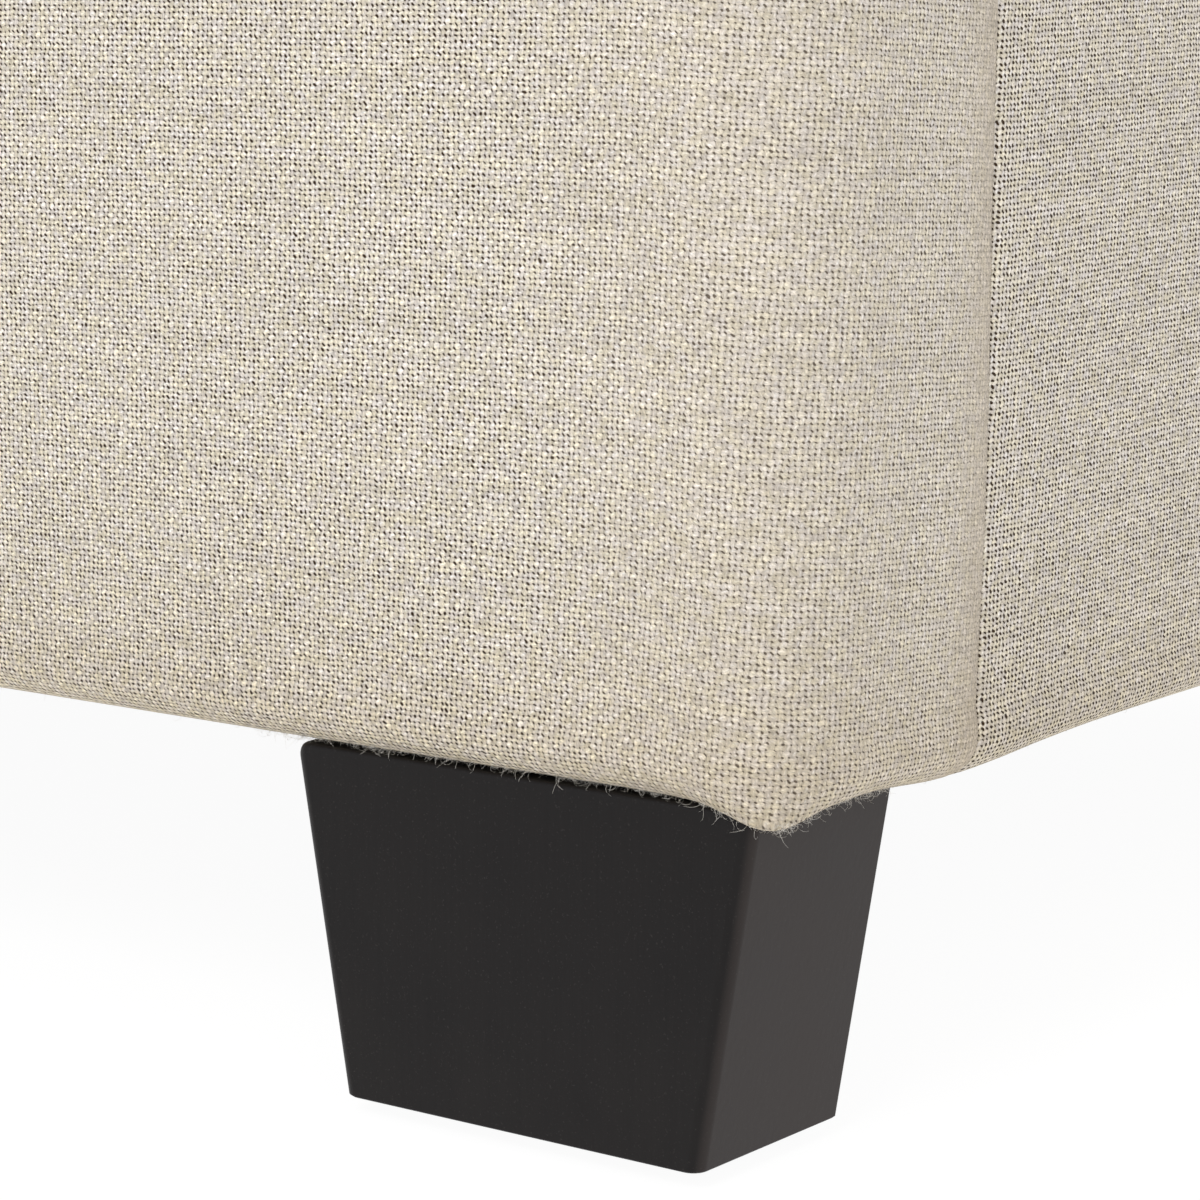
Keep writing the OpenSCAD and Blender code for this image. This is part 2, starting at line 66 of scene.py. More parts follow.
front_low, front_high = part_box("front_cover")
rear_low, rear_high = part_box("rear_cover")
border_low, border_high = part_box("lid_border_cover")
END_X = front_high.x
FRONT_Y = front_low.y
REAR_Y = rear_high.y
FRONT_SEAM = front_high.y
REAR_SEAM = rear_low.y
BASE_LOW = front_low.z
BASE_TOP = front_high.z
LID_LOW = border_low.z
LID_SEAM = border_high.z
LID_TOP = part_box("lid_top_cover")[1].z
CORNER_X = END_X - CORNER_R
FOOT_BOXES = {foot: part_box(foot) for foot in
              ("front_left_foot", "front_right_foot", "rear_left_foot", "rear_right_foot")}

# ---- Shape of the cloth ----

# Width of the narrow pull at a seam, and distances between samples beside seams, turns and elsewhere
WRAP_SEAM = 1.6 * MM
END_SEAM = 0.9 * MM
SEAM_STEP = 0.5 * MM
TURN_STEP = 1.2 * MM
LINING_STEP = 2 * MM
WIDEST_STEP = 9 * MM

# How open the weave is: above 0 its pinholes are larger, and at -1 it is pressed flat
WRAP_OPEN = 0.1
END_OPEN = 0.3
SEAM_OPEN = 0.3
SEAM_PRESSED = 0.95
CORNER_TIGHT = 0.5

# Padding between the seams, and the hem's sag at each seam
PROUD = 0.8 * MM
UNEVEN = 0.35 * MM
SEAM_SAG = 2.3 * MM

# How the seams lean towards the corners: all the way up, and more low down
LEAN_UP = 1.4 * MM
LEAN_LOW = 2.2 * MM
LEAN_REACH = 30 * MM

# The gather under each rounded corner, and the squareness of the roll
BULGE_OUT = 2.6 * MM
BULGE_DROP = 2.8 * MM
BULGE_W = 8 * MM
BULGE_H = 16 * MM
BULGE_SHIFT = 2 * MM
BULGE_SQUARE = 0.5
ROLL_SQUARE = 1.3 * MM

# The flat cut is measured from this far above the hem, and is stretched round the roll
CUT_LEVEL = 60 * MM
ROLL_STRETCH = 2.5 * MM

# The lid's top is held up to this height above its seam, and swells at most this much
LID_HELD = 9 * MM
LID_SWELL = 9 * MM

# ---- Shape of the other pieces ----

FOOT_TAPER = 10 * MM
FOOT_ROUND = 2.4 * MM
FOOT_INNER = 0.9 * MM
FOOT_EASED = 0.5 * MM
FOOT_CHAMFER = 0.3 * MM
FOOT_STEPS = 6

STAPLE_LONG, STAPLE_WIDE, STAPLE_THICK = 9.5 * MM, 1.2 * MM, 0.55 * MM
STAPLE_ROUND = 0.14 * MM

HAIR_RADIUS = 0.024 * MM
HAIR_LONGEST = 3.2 * MM
HAIR_SPACING = 0.055 * MM
HAIR_STEPS = 7


# ---- Node trees ----

def arithmetic(operation, swapped=False):
    """A method that adds a Math node for the values that it is used on."""
    def method(*values):
        return values[0].net.math(operation, *(reversed(values) if swapped else values))

    return method


class Value:
    """A number in a material's node tree. Arithmetic with it adds Math nodes."""

    def __init__(self, net, socket):
        self.net, self.socket = net, socket

    __add__ = arithmetic("ADD")
    __sub__ = arithmetic("SUBTRACT")
    __rsub__ = arithmetic("SUBTRACT", swapped=True)
    __mul__ = arithmetic("MULTIPLY")
    __truediv__ = arithmetic("DIVIDE")
    __abs__ = arithmetic("ABSOLUTE")


class Net:
    """A material's node tree, with short ways to add to it."""

    def __init__(self, name, **surface):
        self.material = bpy.data.materials.new(name)
        self.material.use_nodes = True
        tree = self.material.node_tree
        self.nodes, self.links = tree.nodes, tree.links
        self.shader = self.nodes["Principled BSDF"]
        self.place = self.add("ShaderNodeTexCoord", out="Object")
        for socket, value in surface.items():
            self.feed(self.shader.inputs[socket.replace("_", " ")], value)

    def feed(self, socket, value):
        if isinstance(value, Value):
            value = value.socket
        if isinstance(value, bpy.types.NodeSocket):
            self.links.new(value, socket)
        else:
            socket.default_value = value

    def add(self, kind, feeds=(), out=0, **settings):
        """Adds a node and returns one of its outputs, for a colour or a vector."""
        node = self.nodes.new(kind)
        for key, value in settings.items():
            setattr(node, key, value)
        for socket, value in dict(feeds).items():
            self.feed(node.inputs[socket], value)
        return node.outputs[out]

    def number(self, *node, **settings):
        """Like add, for a number."""
        return Value(self, self.add(*node, **settings))

    def math(self, operation, *values):
        return self.number("ShaderNodeMath", enumerate(values), operation=operation)

    def mix(self, share, a, b, blend="MIX"):
        feeds = {0: share, 6: a, 7: b}
        return self.add("ShaderNodeMix", feeds, out=2, data_type="RGBA", blend_type=blend)

    def choose(self, share, a, b):
        """Like mix, for numbers."""
        return self.number("ShaderNodeMix", {0: share, 2: a, 3: b})

    def span(self, value, low, high, to_low=0.0, to_high=1.0, smooth=False):
        kind = "SMOOTHSTEP" if smooth else "LINEAR"
        feeds = {0: value, 1: low, 2: high, 3: to_low, 4: to_high}
        return self.number("ShaderNodeMapRange", feeds, interpolation_type=kind)

    def noise(self, vector, scale, detail=2.0, rough=0.5, flat=False, colour=False):
        feeds = {"Vector": vector, "Scale": scale, "Detail": detail, "Roughness": rough}
        made = self.number("ShaderNodeTexNoise", feeds, out="Color" if colour else "Fac",
                           noise_dimensions="2D" if flat else "3D")
        return self.split(made) if colour else made

    def chance(self, x, y):
        return self.number("ShaderNodeTexWhiteNoise", {"Vector": self.join(x, y, 0.0)},
                           noise_dimensions="2D")

    def join(self, x, y, z):
        return self.add("ShaderNodeCombineXYZ", {0: x, 1: y, 2: z})

    def split(self, vector):
        node = self.nodes.new("ShaderNodeSeparateXYZ")
        self.feed(node.inputs[0], vector)
        return [Value(self, output) for output in node.outputs]

    def facing(self):
        return self.split(self.add("ShaderNodeTexCoord", out="Normal"))

    def scaled(self, x, y, z):
        return self.add("ShaderNodeVectorMath", {0: self.place, 1: (x, y, z)}, operation="MULTIPLY")

    def cells(self, vector, scale):
        return self.number("ShaderNodeTexVoronoi", {"Vector": vector, "Scale": scale}, out="Distance")

    def paint(self, colour):
        self.feed(self.shader.inputs["Base Color"], colour)

    def roughen(self, value):
        self.feed(self.shader.inputs["Roughness"], value)

    def bump(self, height, distance, strength=1.0):
        feeds = {"Strength": strength, "Distance": distance, "Height": height}
        self.feed(self.shader.inputs["Normal"], self.add("ShaderNodeBump", feeds))


def srgb(red, green, blue):
    """Linear colour with alpha, from sRGB values of 0 to 255."""
    values = [c / 255 for c in (red, green, blue)]
    return [c / 12.92 if c < 0.04045 else ((c + 0.055) / 1.055) ** 2.4 for c in values] + [1.0]


# ---- Weave ----

# Widths and places across a yarn are shares of the pitch of its own set
WARP_HALF, WEFT_HALF = 0.48, 0.52
WARP_SLUB, WEFT_SLUB = 20 * MM, 35 * MM
WARP_SLUB_SWELL, WEFT_SLUB_SWELL = 0.07, 0.1
JITTER = 0.55
PINCH = 0.4
OVER_RISE = 0.42
HOLE_NARROW, HOLE_WIDE = 0.26, 0.48
HOLE_DEPTH = 0.8
# Painted shade on the walls starts this far above the hem and fades over this reach
SHADE_START, SHADE_REACH = 6 * MM, 16 * MM


class Yarns:
    """One of the weave's two sets of yarns: the yarn that a point is on, and where on it the point is."""

    def __init__(self, net, coordinate, along, pitch, drift, jitter, wander):
        place = coordinate / pitch + (drift - 0.5) * wander + (jitter - 0.5) * JITTER
        self.net = net
        self.along = along
        self.index = net.math("FLOOR", place)
        self.across = net.math("FRACT", place) - 0.5

    def thicken(self, half, slub_length, slub_swell, warp_pitch):
        """Slubs: a yarn is thicker and thinner along its own length, and pinched unevenly."""
        row = self.index * 7.31
        far, near = [self.net.noise(self.net.join(row, step, 0.0), 1.0, 1.0, flat=True)
                     for step in (self.along / slub_length, self.along * (0.9 / warp_pitch))]
        self.slub = far
        self.half = (far - 0.5) * slub_swell + (near - 0.5) * PINCH + half

    def fibres(self, warp_pitch):
        """Fibres of a spun yarn, slanted by its twist."""
        slant = self.along / (0.7 * warp_pitch) + self.across * 1.5
        row = self.across * 2.6 + self.index * 13.7
        return self.net.noise(self.net.join(slant, row, 0.0), 1.0, 2.0, 0.6, flat=True)

    def surface(self, other, side, sign):
        """Height of the yarns, which go over and under the other set's."""
        share = (self.across + other.across * -0.2) / self.half
        crown = self.net.math("SQRT", self.net.math("MAXIMUM", 1.0 - share * share, 0.0))
        wave = side * self.net.math("COSINE", other.across * math.pi)
        return crown * (1 - OVER_RISE) + wave * (OVER_RISE * sign)

    def glint(self, other, shows, strength):
        """Painted highlight: light caught along the crown of a float, where its fibres lie straight."""
        share = (self.across + other.across * -0.3) / self.half
        narrow = self.net.span(abs(share - 0.15), 0.05, 0.5, 1.0, 0.0, smooth=True)
        ends = self.net.span(abs(other.across), 0.25, 0.6, 1.0, 0.0, smooth=True)
        return narrow * ends * (shows * strength)

    def whole_tone(self, seed, change):
        """Each yarn's own tone, the same along all of it."""
        return self.net.span(self.net.chance(self.index, seed), 0.0, 1.0, 1 - change, 1 + change)


def pinholes(net, warp, weft, opening):
    """Holes where four yarns meet, leaning the way that the yarns are twisted, each of its own size."""
    x, y = [net.math("FRACT", yarns.across + 1.0) - 0.5 for yarns in (warp, weft)]
    narrow = (x + y) / HOLE_NARROW
    wide = (x - y) / HOLE_WIDE
    away = net.math("SQRT", narrow * narrow + wide * wide)
    junction = net.chance(*[yarns.index + net.math("GREATER_THAN", yarns.across, 0.0)
                            for yarns in (warp, weft)])
    room = 1.0 - (warp.half + weft.half)
    growth = room * 2.4 + opening * 0.35 + (junction - 0.5) * 0.4
    return net.span(away - growth, 0.5, 1.02, 1.0, 0.0, smooth=True), junction


def painted_shade_low(net, colour, facing_up, hem):
    """Painted shade: cloth low down and cloth that faces down is painted a little darker, where less light
    reaches it.
    """
    rise = net.math("MAXIMUM", net.split(net.place)[2] - (hem + SHADE_START), 0.0)
    low = net.math("EXPONENT", rise / -SHADE_REACH)
    under = net.span(facing_up, -0.3, -0.95)
    for share, shade in ((low, (0.88, 0.85, 0.80, 1.0)), (under, (0.95, 0.94, 0.90, 1.0))):
        colour = net.mix(share, colour, net.mix(1.0, colour, shade, blend="MULTIPLY"))
    return colour


def weave(net, warp_pitch, weft_pitch, warp_colours, weft_colours, glint_colour, hole_shade, pressed, wander, relief,
          hem=None):
    """Plain weave on the piece's own flat metric coordinates: colour and relief."""
    flat = net.add("ShaderNodeUVMap", uv_map="cut")
    u, v, _ = net.split(flat)
    drift = net.noise(flat, 0.17 / warp_pitch, 2.0, 0.6, flat=True, colour=True)
    jitter = net.noise(flat, 0.6 / warp_pitch, 1.0, flat=True, colour=True)
    opening = net.number("ShaderNodeAttribute", out="Fac", attribute_name="seam_open")
    warp = Yarns(net, u, v, warp_pitch, drift[0], jitter[0], wander)
    weft = Yarns(net, v, u, weft_pitch, drift[1], jitter[1], wander)
    warp.thicken(WARP_HALF, WARP_SLUB, WARP_SLUB_SWELL, warp_pitch)
    weft.thicken(WEFT_HALF, WEFT_SLUB, WEFT_SLUB_SWELL, warp_pitch)
    side = net.math("COSINE", (warp.index + weft.index) * math.pi)
    warp_height, weft_height = warp.surface(weft, side, 1.0), weft.surface(warp, side, -1.0)
    warp_shows = net.math("GREATER_THAN", warp_height, weft_height)
    top = net.math("MAXIMUM", warp_height, weft_height)
    gap, junction = pinholes(net, warp, weft, opening)

    # Colours of the yarns, float by float
    float_chance = net.chance(warp.index, weft.index)
    weft_share = net.span(weft.slub, 0.3, 0.7, 0.0, 0.5) + float_chance * 0.5
    yarn = net.mix(warp_shows, net.mix(weft_share, *weft_colours), net.mix(float_chance, *warp_colours))

    # Tones: fibres, floats, whole yarns, patches of cloth and the shade beside each crown
    fibre = net.choose(warp_shows, weft.fibres(warp_pitch), warp.fibres(warp_pitch))
    tone = net.span(fibre, 0.3, 0.7, 0.78, 1.22) * net.span(float_chance, 0.0, 1.0, 0.93, 1.07)
    tone = tone * net.choose(warp_shows, weft.whole_tone(0.5, 0.06), warp.whole_tone(0.25, 0.03))
    tone = tone * net.span(net.noise(flat, 40.0, flat=True), 0.3, 0.7, 0.985, 1.015)
    tone = tone * net.span(top, 0.1, 0.95, 0.8, 1.0)

    # Painted highlights on the crowns that catch light: the weft's on the long faces and the warp's on the
    # ends
    normal = net.facing()
    sideways = abs(normal[0])
    weft_glint = weft.glint(warp, 1.0 - warp_shows, net.span(sideways, 0.0, 1.0, 1.0, 0.25))
    warp_glint = warp.glint(weft, warp_shows, net.span(sideways, 0.0, 1.0, 0.25, 1.0))
    yarn = net.mix((weft_glint + warp_glint) * net.span(junction, 0.0, 1.0, 0.3, 1.0), yarn, glint_colour)
    tint = net.span(net.noise(flat, 0.45 / warp_pitch, 2.0, 0.6, flat=True), 0.35, 0.65)
    tint = net.mix(tint, (0.975, 0.98, 1.045, 1.0), (1.01, 1.0, 0.925, 1.0))
    # The pinholes are painted dark, as painted shade inside them
    lit = net.mix(gap, net.mix(1.0, yarn, tint, blend="MULTIPLY"), hole_shade)

    # Pressed cloth beside a seam hides its yarns
    flattened = net.span(opening, -1.0, 0.0, 0.8, 0.0)
    lit = net.mix(flattened, lit, pressed)
    speckle = net.span(net.noise(flat, 1.5 / warp_pitch, 2.0, 0.7, flat=True), 0.35, 0.65, 0.8, 1.2)
    tone = tone * ((speckle - 1.0) * flattened + 1.0)
    # Painted shade: darker low on the walls and where the cloth faces down
    if hem is not None:
        lit = painted_shade_low(net, lit, normal[2], hem)
    shade = net.join(tone, tone, tone)
    net.paint(net.add("ShaderNodeVectorMath", {0: lit, 1: shade}, operation="MULTIPLY"))
    kept = net.span(opening, -1.0, 0.0, 0.2, 1.0)
    net.bump((top - gap * HOLE_DEPTH) * kept, relief)


# ---- Materials ----

LINEN_WARP, LINEN_WEFT = 0.99 * MM, 0.885 * MM
LINING_WARP, LINING_WEFT = 0.55 * MM, 0.5 * MM


def linen_material():
    net = Net("linen_weave", Roughness=0.85, Sheen_Weight=0.1, Sheen_Roughness=0.5,
              Specular_IOR_Level=0.2)
    weave(net, LINEN_WARP, LINEN_WEFT,
          warp_colours=(srgb(215, 205, 190), srgb(230, 221, 207)),
          weft_colours=(srgb(224, 214, 197), srgb(240, 231, 216)),
          glint_colour=srgb(255, 252, 243), hole_shade=srgb(64, 42, 14), pressed=srgb(196, 183, 165),
          wander=0.55, relief=0.26 * MM, hem=BASE_LOW)
    return net.material


def lining_material():
    net = Net("lining_weave", Roughness=0.86, Sheen_Weight=0.1, Specular_IOR_Level=0.25)
    warp_colours = (srgb(84, 84, 88), srgb(100, 100, 104))
    weft_colours = (srgb(74, 74, 78), srgb(94, 93, 96))
    weave(net, LINING_WARP, LINING_WEFT, warp_colours, weft_colours,
          glint_colour=weft_colours[1], hole_shade=srgb(24, 24, 26), pressed=warp_colours[0],
          wander=0.5, relief=0.12 * MM)
    return net.material


def dust_cloth_material():
    net = Net("dust_cloth", Roughness=0.9, Specular_IOR_Level=0.2)
    web = net.noise(net.place, 900.0, 4.0, 0.7)
    tone = web * net.span(net.cells(net.place, 700.0), 0.0, 0.5, 0.6, 1.0)
    net.paint(net.mix(tone, srgb(18, 18, 20), srgb(52, 52, 55)))
    net.bump(tone, 0.1 * MM)
    return net.material


def lacquer_material():
    """Satin black lacquer over wood. Its end faces are painted lighter and greyer, as painted light on that
    side, and its sharp edges are lighter, partly worn thinner and partly a painted highlight.
    """
    net = Net("black_lacquer", Specular_IOR_Level=0.16)
    painted_end_light = net.span(abs(net.facing()[0]), 0.45, 0.95, smooth=True)
    grain = net.noise(net.scaled(1400.0, 1400.0, 60.0), 1.0, 3.0, 0.6)
    cloud = net.noise(net.place, 45.0, 3.0)
    speck = net.span(net.noise(net.place, 2600.0, 1.0), 0.66, 0.8)
    edges = net.number("ShaderNodeNewGeometry", out="Pointiness")
    # Sharp edges lighter: partly worn, thinner lacquer and partly a painted highlight
    wear_and_highlight = net.span(edges, 0.52, 0.6) * net.span(cloud, 0.35, 0.7)
    base = net.mix(cloud, srgb(19, 17, 18), srgb(24, 22, 22))
    # Painted light: the end faces are painted lighter and greyer
    base = net.mix(painted_end_light, base, net.mix(cloud, srgb(42, 37, 36), srgb(56, 50, 48)))
    base = net.mix(grain * 0.2, base, srgb(44, 40, 39))
    base = net.mix(speck * 0.12, base, srgb(110, 106, 102))
    net.paint(net.mix(wear_and_highlight * 0.15, base, srgb(74, 68, 64)))
    net.roughen(net.span(cloud, 0.2, 0.8, 0.38, 0.5))
    net.bump(grain * 0.5 + net.noise(net.place, 700.0), 0.03 * MM, 0.8)
    return net.material


def plywood_material():
    net = Net("plywood", Specular_IOR_Level=0.3)
    rings = net.noise(net.scaled(5.0, 60.0, 60.0), 1.0, 4.0, 0.55)
    pores = net.noise(net.scaled(120.0, 2400.0, 2400.0), 1.0, 2.0, 0.6)
    base = net.mix(net.span(rings, 0.3, 0.7), srgb(214, 184, 138), srgb(186, 148, 100))
    net.paint(net.mix(net.span(pores, 0.55, 0.8) * 0.5, base, srgb(120, 88, 56)))
    net.roughen(net.span(pores, 0.3, 0.7, 0.55, 0.7))
    net.bump(rings + pores, 0.1 * MM, 0.5)
    return net.material


def steel_material():
    """Zinc-plated steel with drawn lines and dull spots."""
    net = Net("zinc_steel", Metallic=1.0)
    lines = net.noise(net.scaled(90.0, 4200.0, 4200.0), 1.0, 2.0, 0.6)
    cloud = net.noise(net.place, 160.0, 3.0, 0.55)
    dull = net.span(net.noise(net.place, 480.0), 0.6, 0.72)
    base = net.mix(cloud, srgb(176, 178, 182), srgb(206, 206, 204))
    net.paint(net.mix(dull * 0.4, base, srgb(138, 134, 126)))
    net.roughen(net.span(cloud, 0.2, 0.8, 0.26, 0.44))
    net.bump(lines, 0.02 * MM, 0.6)
    return net.material


def black_steel_material():
    """Powder-coated steel, with the coat's fine orange peel."""
    net = Net("black_steel", Specular_IOR_Level=0.5, Coat_Weight=0.15, Coat_Roughness=0.3)
    peel = net.noise(net.place, 1100.0)
    net.paint(net.mix(net.noise(net.place, 90.0), srgb(30, 30, 31), srgb(44, 44, 45)))
    net.roughen(net.span(peel, 0.3, 0.7, 0.3, 0.46))
    net.bump(peel, 0.05 * MM, 0.7)
    return net.material


def plastic_material(name, dark, light, rough):
    """Moulded plastic or rubber with a fine spark-eroded texture."""
    net = Net(name, Specular_IOR_Level=0.4)
    cloud = net.noise(net.place, 120.0, 3.0)
    net.paint(net.mix(cloud, dark, light))
    net.roughen(net.span(cloud, 0.2, 0.8, rough - 0.06, rough + 0.08))
    net.bump(net.cells(net.place, 1800.0), 0.04 * MM, 0.6)
    return net.material


def fibre_material():
    net = Net("loose_fibre", Roughness=0.7, Sheen_Weight=0.3)
    net.paint(net.mix(net.noise(net.place, 400.0, 1.0), srgb(226, 220, 208), srgb(255, 252, 246)))
    return net.material


MATERIALS = {
    "upholstery": linen_material(),
    "lining": lining_material(),
    "dust_cloth": dust_cloth_material(),
    "black_wood": lacquer_material(),
    "plywood": plywood_material(),
    "foam": plastic_material("foam_cells", srgb(228, 222, 202), srgb(240, 236, 220), 0.85),
    "steel": steel_material(),
    "black_steel": black_steel_material(),
    "black_plastic": plastic_material("black_plastic", srgb(32, 32, 34), srgb(46, 46, 48), 0.5),
    "bumper_rubber": plastic_material("bumper_rubber", srgb(40, 40, 40), srgb(58, 57, 56), 0.66),
    "fibre": fibre_material(),
}


def dress(piece, material):
    piece.data.materials.clear()
    piece.data.materials.append(material)


def settle(piece, body, slot, stands_for=(), material=None):
    """Gives a piece its body and the material of its slot, or the material named, and hides the CAD nodes
    that it stands for.
    """
    dress(piece, MATERIALS[material or slot])
    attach(piece, body)
    if stands_for:
        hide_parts(*stands_for)


# ---- Meshes ----

SAME_POINT = 0.002 * MM


def put_in_scene(name, data):
    made = bpy.data.objects.new(name, data)
    scene.collection.objects.link(made)
    return made


def new_mesh(name, points, faces):
    mesh = bpy.data.meshes.new(name)
    mesh.from_pydata([tuple(p) for p in points], [], faces)
    mesh.polygons.foreach_set("use_smooth", [True] * len(mesh.polygons))
    return put_in_scene(name, mesh)


def clean(piece):
    """Joins points that coincide and removes faces with no area."""
    made = bmesh.new()
    made.from_mesh(piece.data)
    bmesh.ops.remove_doubles(made, verts=made.verts, dist=SAME_POINT)
    bmesh.ops.dissolve_degenerate(made, dist=SAME_POINT, edges=made.edges)
    made.to_mesh(piece.data)
    made.free()
    return piece


def thicken(piece, thickness):
    """Gives cloth its thickness, behind its face."""
    shell = piece.modifiers.new("thickness", "SOLIDIFY")
    shell.thickness = thickness
    shell.offset = -1.0


def cloth_grid(name, points, u, v, opening=0.0, thickness=CLOTH_T):
    """Cloth on a grid of points, with its flat cut as coordinates and its thickness behind its face."""
    rows, columns = points.shape[:2]
    index = np.arange(rows * columns).reshape(rows, columns)
    quads = np.stack([index[:-1, :-1], index[1:, :-1], index[1:, 1:], index[:-1, 1:]], axis=-1)
    piece = new_mesh(name, points.reshape(-1, 3), quads.reshape(-1, 4).tolist())
    mesh = piece.data
    corner = np.zeros(len(mesh.loops), int)
    mesh.loops.foreach_get("vertex_index", corner)
    cut = np.stack(np.broadcast_arrays(u, v), axis=-1).reshape(-1, 2)
    mesh.uv_layers.new(name="cut").data.foreach_set("uv", cut[corner].ravel())
    values = np.broadcast_to(opening, (rows, columns))
    layer = mesh.attributes.new("seam_open", "FLOAT", "POINT")
    layer.data.foreach_set("value", np.ascontiguousarray(values, np.float32).ravel())
    clean(piece)
    if thickness:
        thicken(piece, thickness)
    return piece


def graded(length, first, last, widest, growth=1.35):
    """Distances from 0 to length, closest together at the ends."""
    def half(step):
        return np.concatenate([[0.0], np.cumsum(np.minimum(step * growth ** np.arange(900), widest))])

    start, end = half(first), half(last)
    start = start[start < length / 2]
    end = length - end[end < length / 2 - 0.3 * min(first, last)]
    return np.concatenate([start, end[::-1]])


def joined(stretches):
    """One run of samples from several stretches, and the lengths at which they meet.

    The last row of a stretch is its length so far, which goes on from one stretch to the next.
    """
    breaks, rows = [0.0], []
    for n, (*others, along) in enumerate(stretches):
        rows.append([row[min(n, 1):] for row in (*others, along + breaks[-1])])
        breaks.append(breaks[-1] + along[-1])
    return [np.concatenate(row) for row in zip(*rows)], breaks


def straight(start, end, outward, first, last, turns=(False, False)):
    """Straight stretch of a plan outline: x, y, outward direction, deepest turn-in, and length.

    The steps beside its ends are first and last. The turn-in is cut short towards an end with a turn.
    """
    start, end = np.array(start), np.array(end)
    length = np.linalg.norm(end - start)
    along = graded(length, first, last, WIDEST_STEP)
    points = start + (end - start) * (along / length)[:, None]
    depth = np.full(len(along), 1.0)
    if turns[0]:
        depth = np.minimum(depth, CORNER_R + along)
    if turns[1]:
        depth = np.minimum(depth, CORNER_R + length - along)
    normal = np.tile(np.array(outward, float), (len(along), 1))
    return [points[:, 0], points[:, 1], normal[:, 0], normal[:, 1], depth, along]


def bend(centre, radius, start_angle, end_angle, pieces=18):
    """Round stretch of a plan outline."""
    angle = np.linspace(start_angle, end_angle, pieces + 1)
    normal = np.stack([np.cos(angle), np.sin(angle)], axis=1)
    points = np.array(centre) + radius * normal
    along = np.abs(angle - start_angle) * radius
    return [points[:, 0], points[:, 1], normal[:, 0], normal[:, 1],
            np.full(len(angle), radius - 0.05 * MM), along]


class Outline:
    """Samples of a plan outline, with each one's length from the start."""

    def __init__(self, stretches):
        (self.x, self.y, self.nx, self.ny, self.depth, self.s), self.breaks = joined(stretches)
        self.length = self.breaks[-1]
        self.wraps = len(stretches) > 1


def wrap_outline(seam_y, face_y, way):
    """Front or rear panel's outline, from the seam on one end round the face to the other seam.

    The front runs from left to right and the rear from right to left, so that outward stays on one side.
    """
    start_x, turn_x = way * END_X, way * CORNER_X
    axis_y, facing = face_y - way * CORNER_R, way * QUARTER
    return Outline([
        straight((start_x, seam_y), (start_x, axis_y), (way, 0.0), SEAM_STEP, TURN_STEP, (False, True)),
        bend((turn_x, axis_y), CORNER_R, facing - QUARTER, facing),
        straight((turn_x, face_y), (-turn_x, face_y), (0.0, way), TURN_STEP, TURN_STEP, (True, True)),
        bend((-turn_x, axis_y), CORNER_R, facing, facing + QUARTER),
        straight((-start_x, axis_y), (-start_x, seam_y), (-way, 0.0), TURN_STEP, SEAM_STEP, (True, False)),
    ])


def end_outline(side):
    """End panel's outline between its two seams."""
    start, end = (REAR_SEAM, FRONT_SEAM) if side < 0 else (FRONT_SEAM, REAR_SEAM)
    return Outline([straight((side * END_X, start), (side * END_X, end), (side, 0.0),
                             SEAM_STEP, SEAM_STEP)])


def arc(centre_depth, centre_z, radius, start, end, pieces):
    """Round stretch of a section: depth into the wall and height. Angle 0 points outward."""
    angle = np.linspace(start, end, pieces + 1)
    return [centre_depth - radius * np.cos(angle), centre_z + radius * np.sin(angle),
            np.abs(angle - start) * radius]


def line(depth_a, z_a, depth_b, z_b, steps):
    length = math.hypot(depth_b - depth_a, z_b - z_a)
    share = graded(length, *steps) / length
    return [depth_a + (depth_b - depth_a) * share, z_a + (z_b - z_a) * share, share * length]


def box_section():
    """From the turn-in under the bottom, round the roll, up the wall and over the rim."""
    return joined([
        line(TURN_IN, BASE_LOW, ROLL_R, BASE_LOW, (6 * MM, 1.5 * MM, 6 * MM)),
        arc(ROLL_R, BASE_LOW + ROLL_R, ROLL_R, -QUARTER, 0.0, 12),
        line(0.0, BASE_LOW + ROLL_R, 0.0, BASE_TOP - RIM_R, (1.3 * MM, 1.3 * MM, 8 * MM)),
        arc(RIM_R, BASE_TOP - RIM_R, RIM_R, 0.0, QUARTER, 10),
        line(RIM_R, BASE_TOP, TURN_IN, BASE_TOP, (1.3 * MM, 6 * MM, 6 * MM)),
    ])[0]


def border_section():
    """From the turn-under beneath the lid, round its lower edge and up to the seam with the top."""
    return joined([
        line(LID_TURN, LID_LOW, RIM_R, LID_LOW, (6 * MM, 1.5 * MM, 6 * MM)),
        arc(RIM_R, LID_LOW + RIM_R, RIM_R, -QUARTER, 0.0, 10),
        line(0.0, LID_LOW + RIM_R, 0.0, LID_SEAM, (1.3 * MM, 0.6 * MM, 6 * MM)),
    ])[0]


def bell(distance, width):
    return np.exp(-(distance / width) ** 2)


def tail(distance, width):
    """Falls from 1 with a round top and then steadily, as cloth does away from where it is held."""
    return np.exp(2 - 2 * np.hypot(1.0, distance / width))


def ripple(x, y, seed, reach):
    """Smooth uneven surface of height about -1 to 1, from a few long waves."""
    draw = np.random.default_rng(seed)
    total = np.zeros(np.broadcast(x, y).shape)
    for _ in range(9):
        angle, phase = draw.uniform(0, math.pi), draw.uniform(0, 2 * math.pi)
        wave = reach * draw.uniform(0.6, 2.2)
        total = total + np.sin((x * math.cos(angle) + y * math.sin(angle)) * 2 * math.pi / wave + phase)
    return total / 4


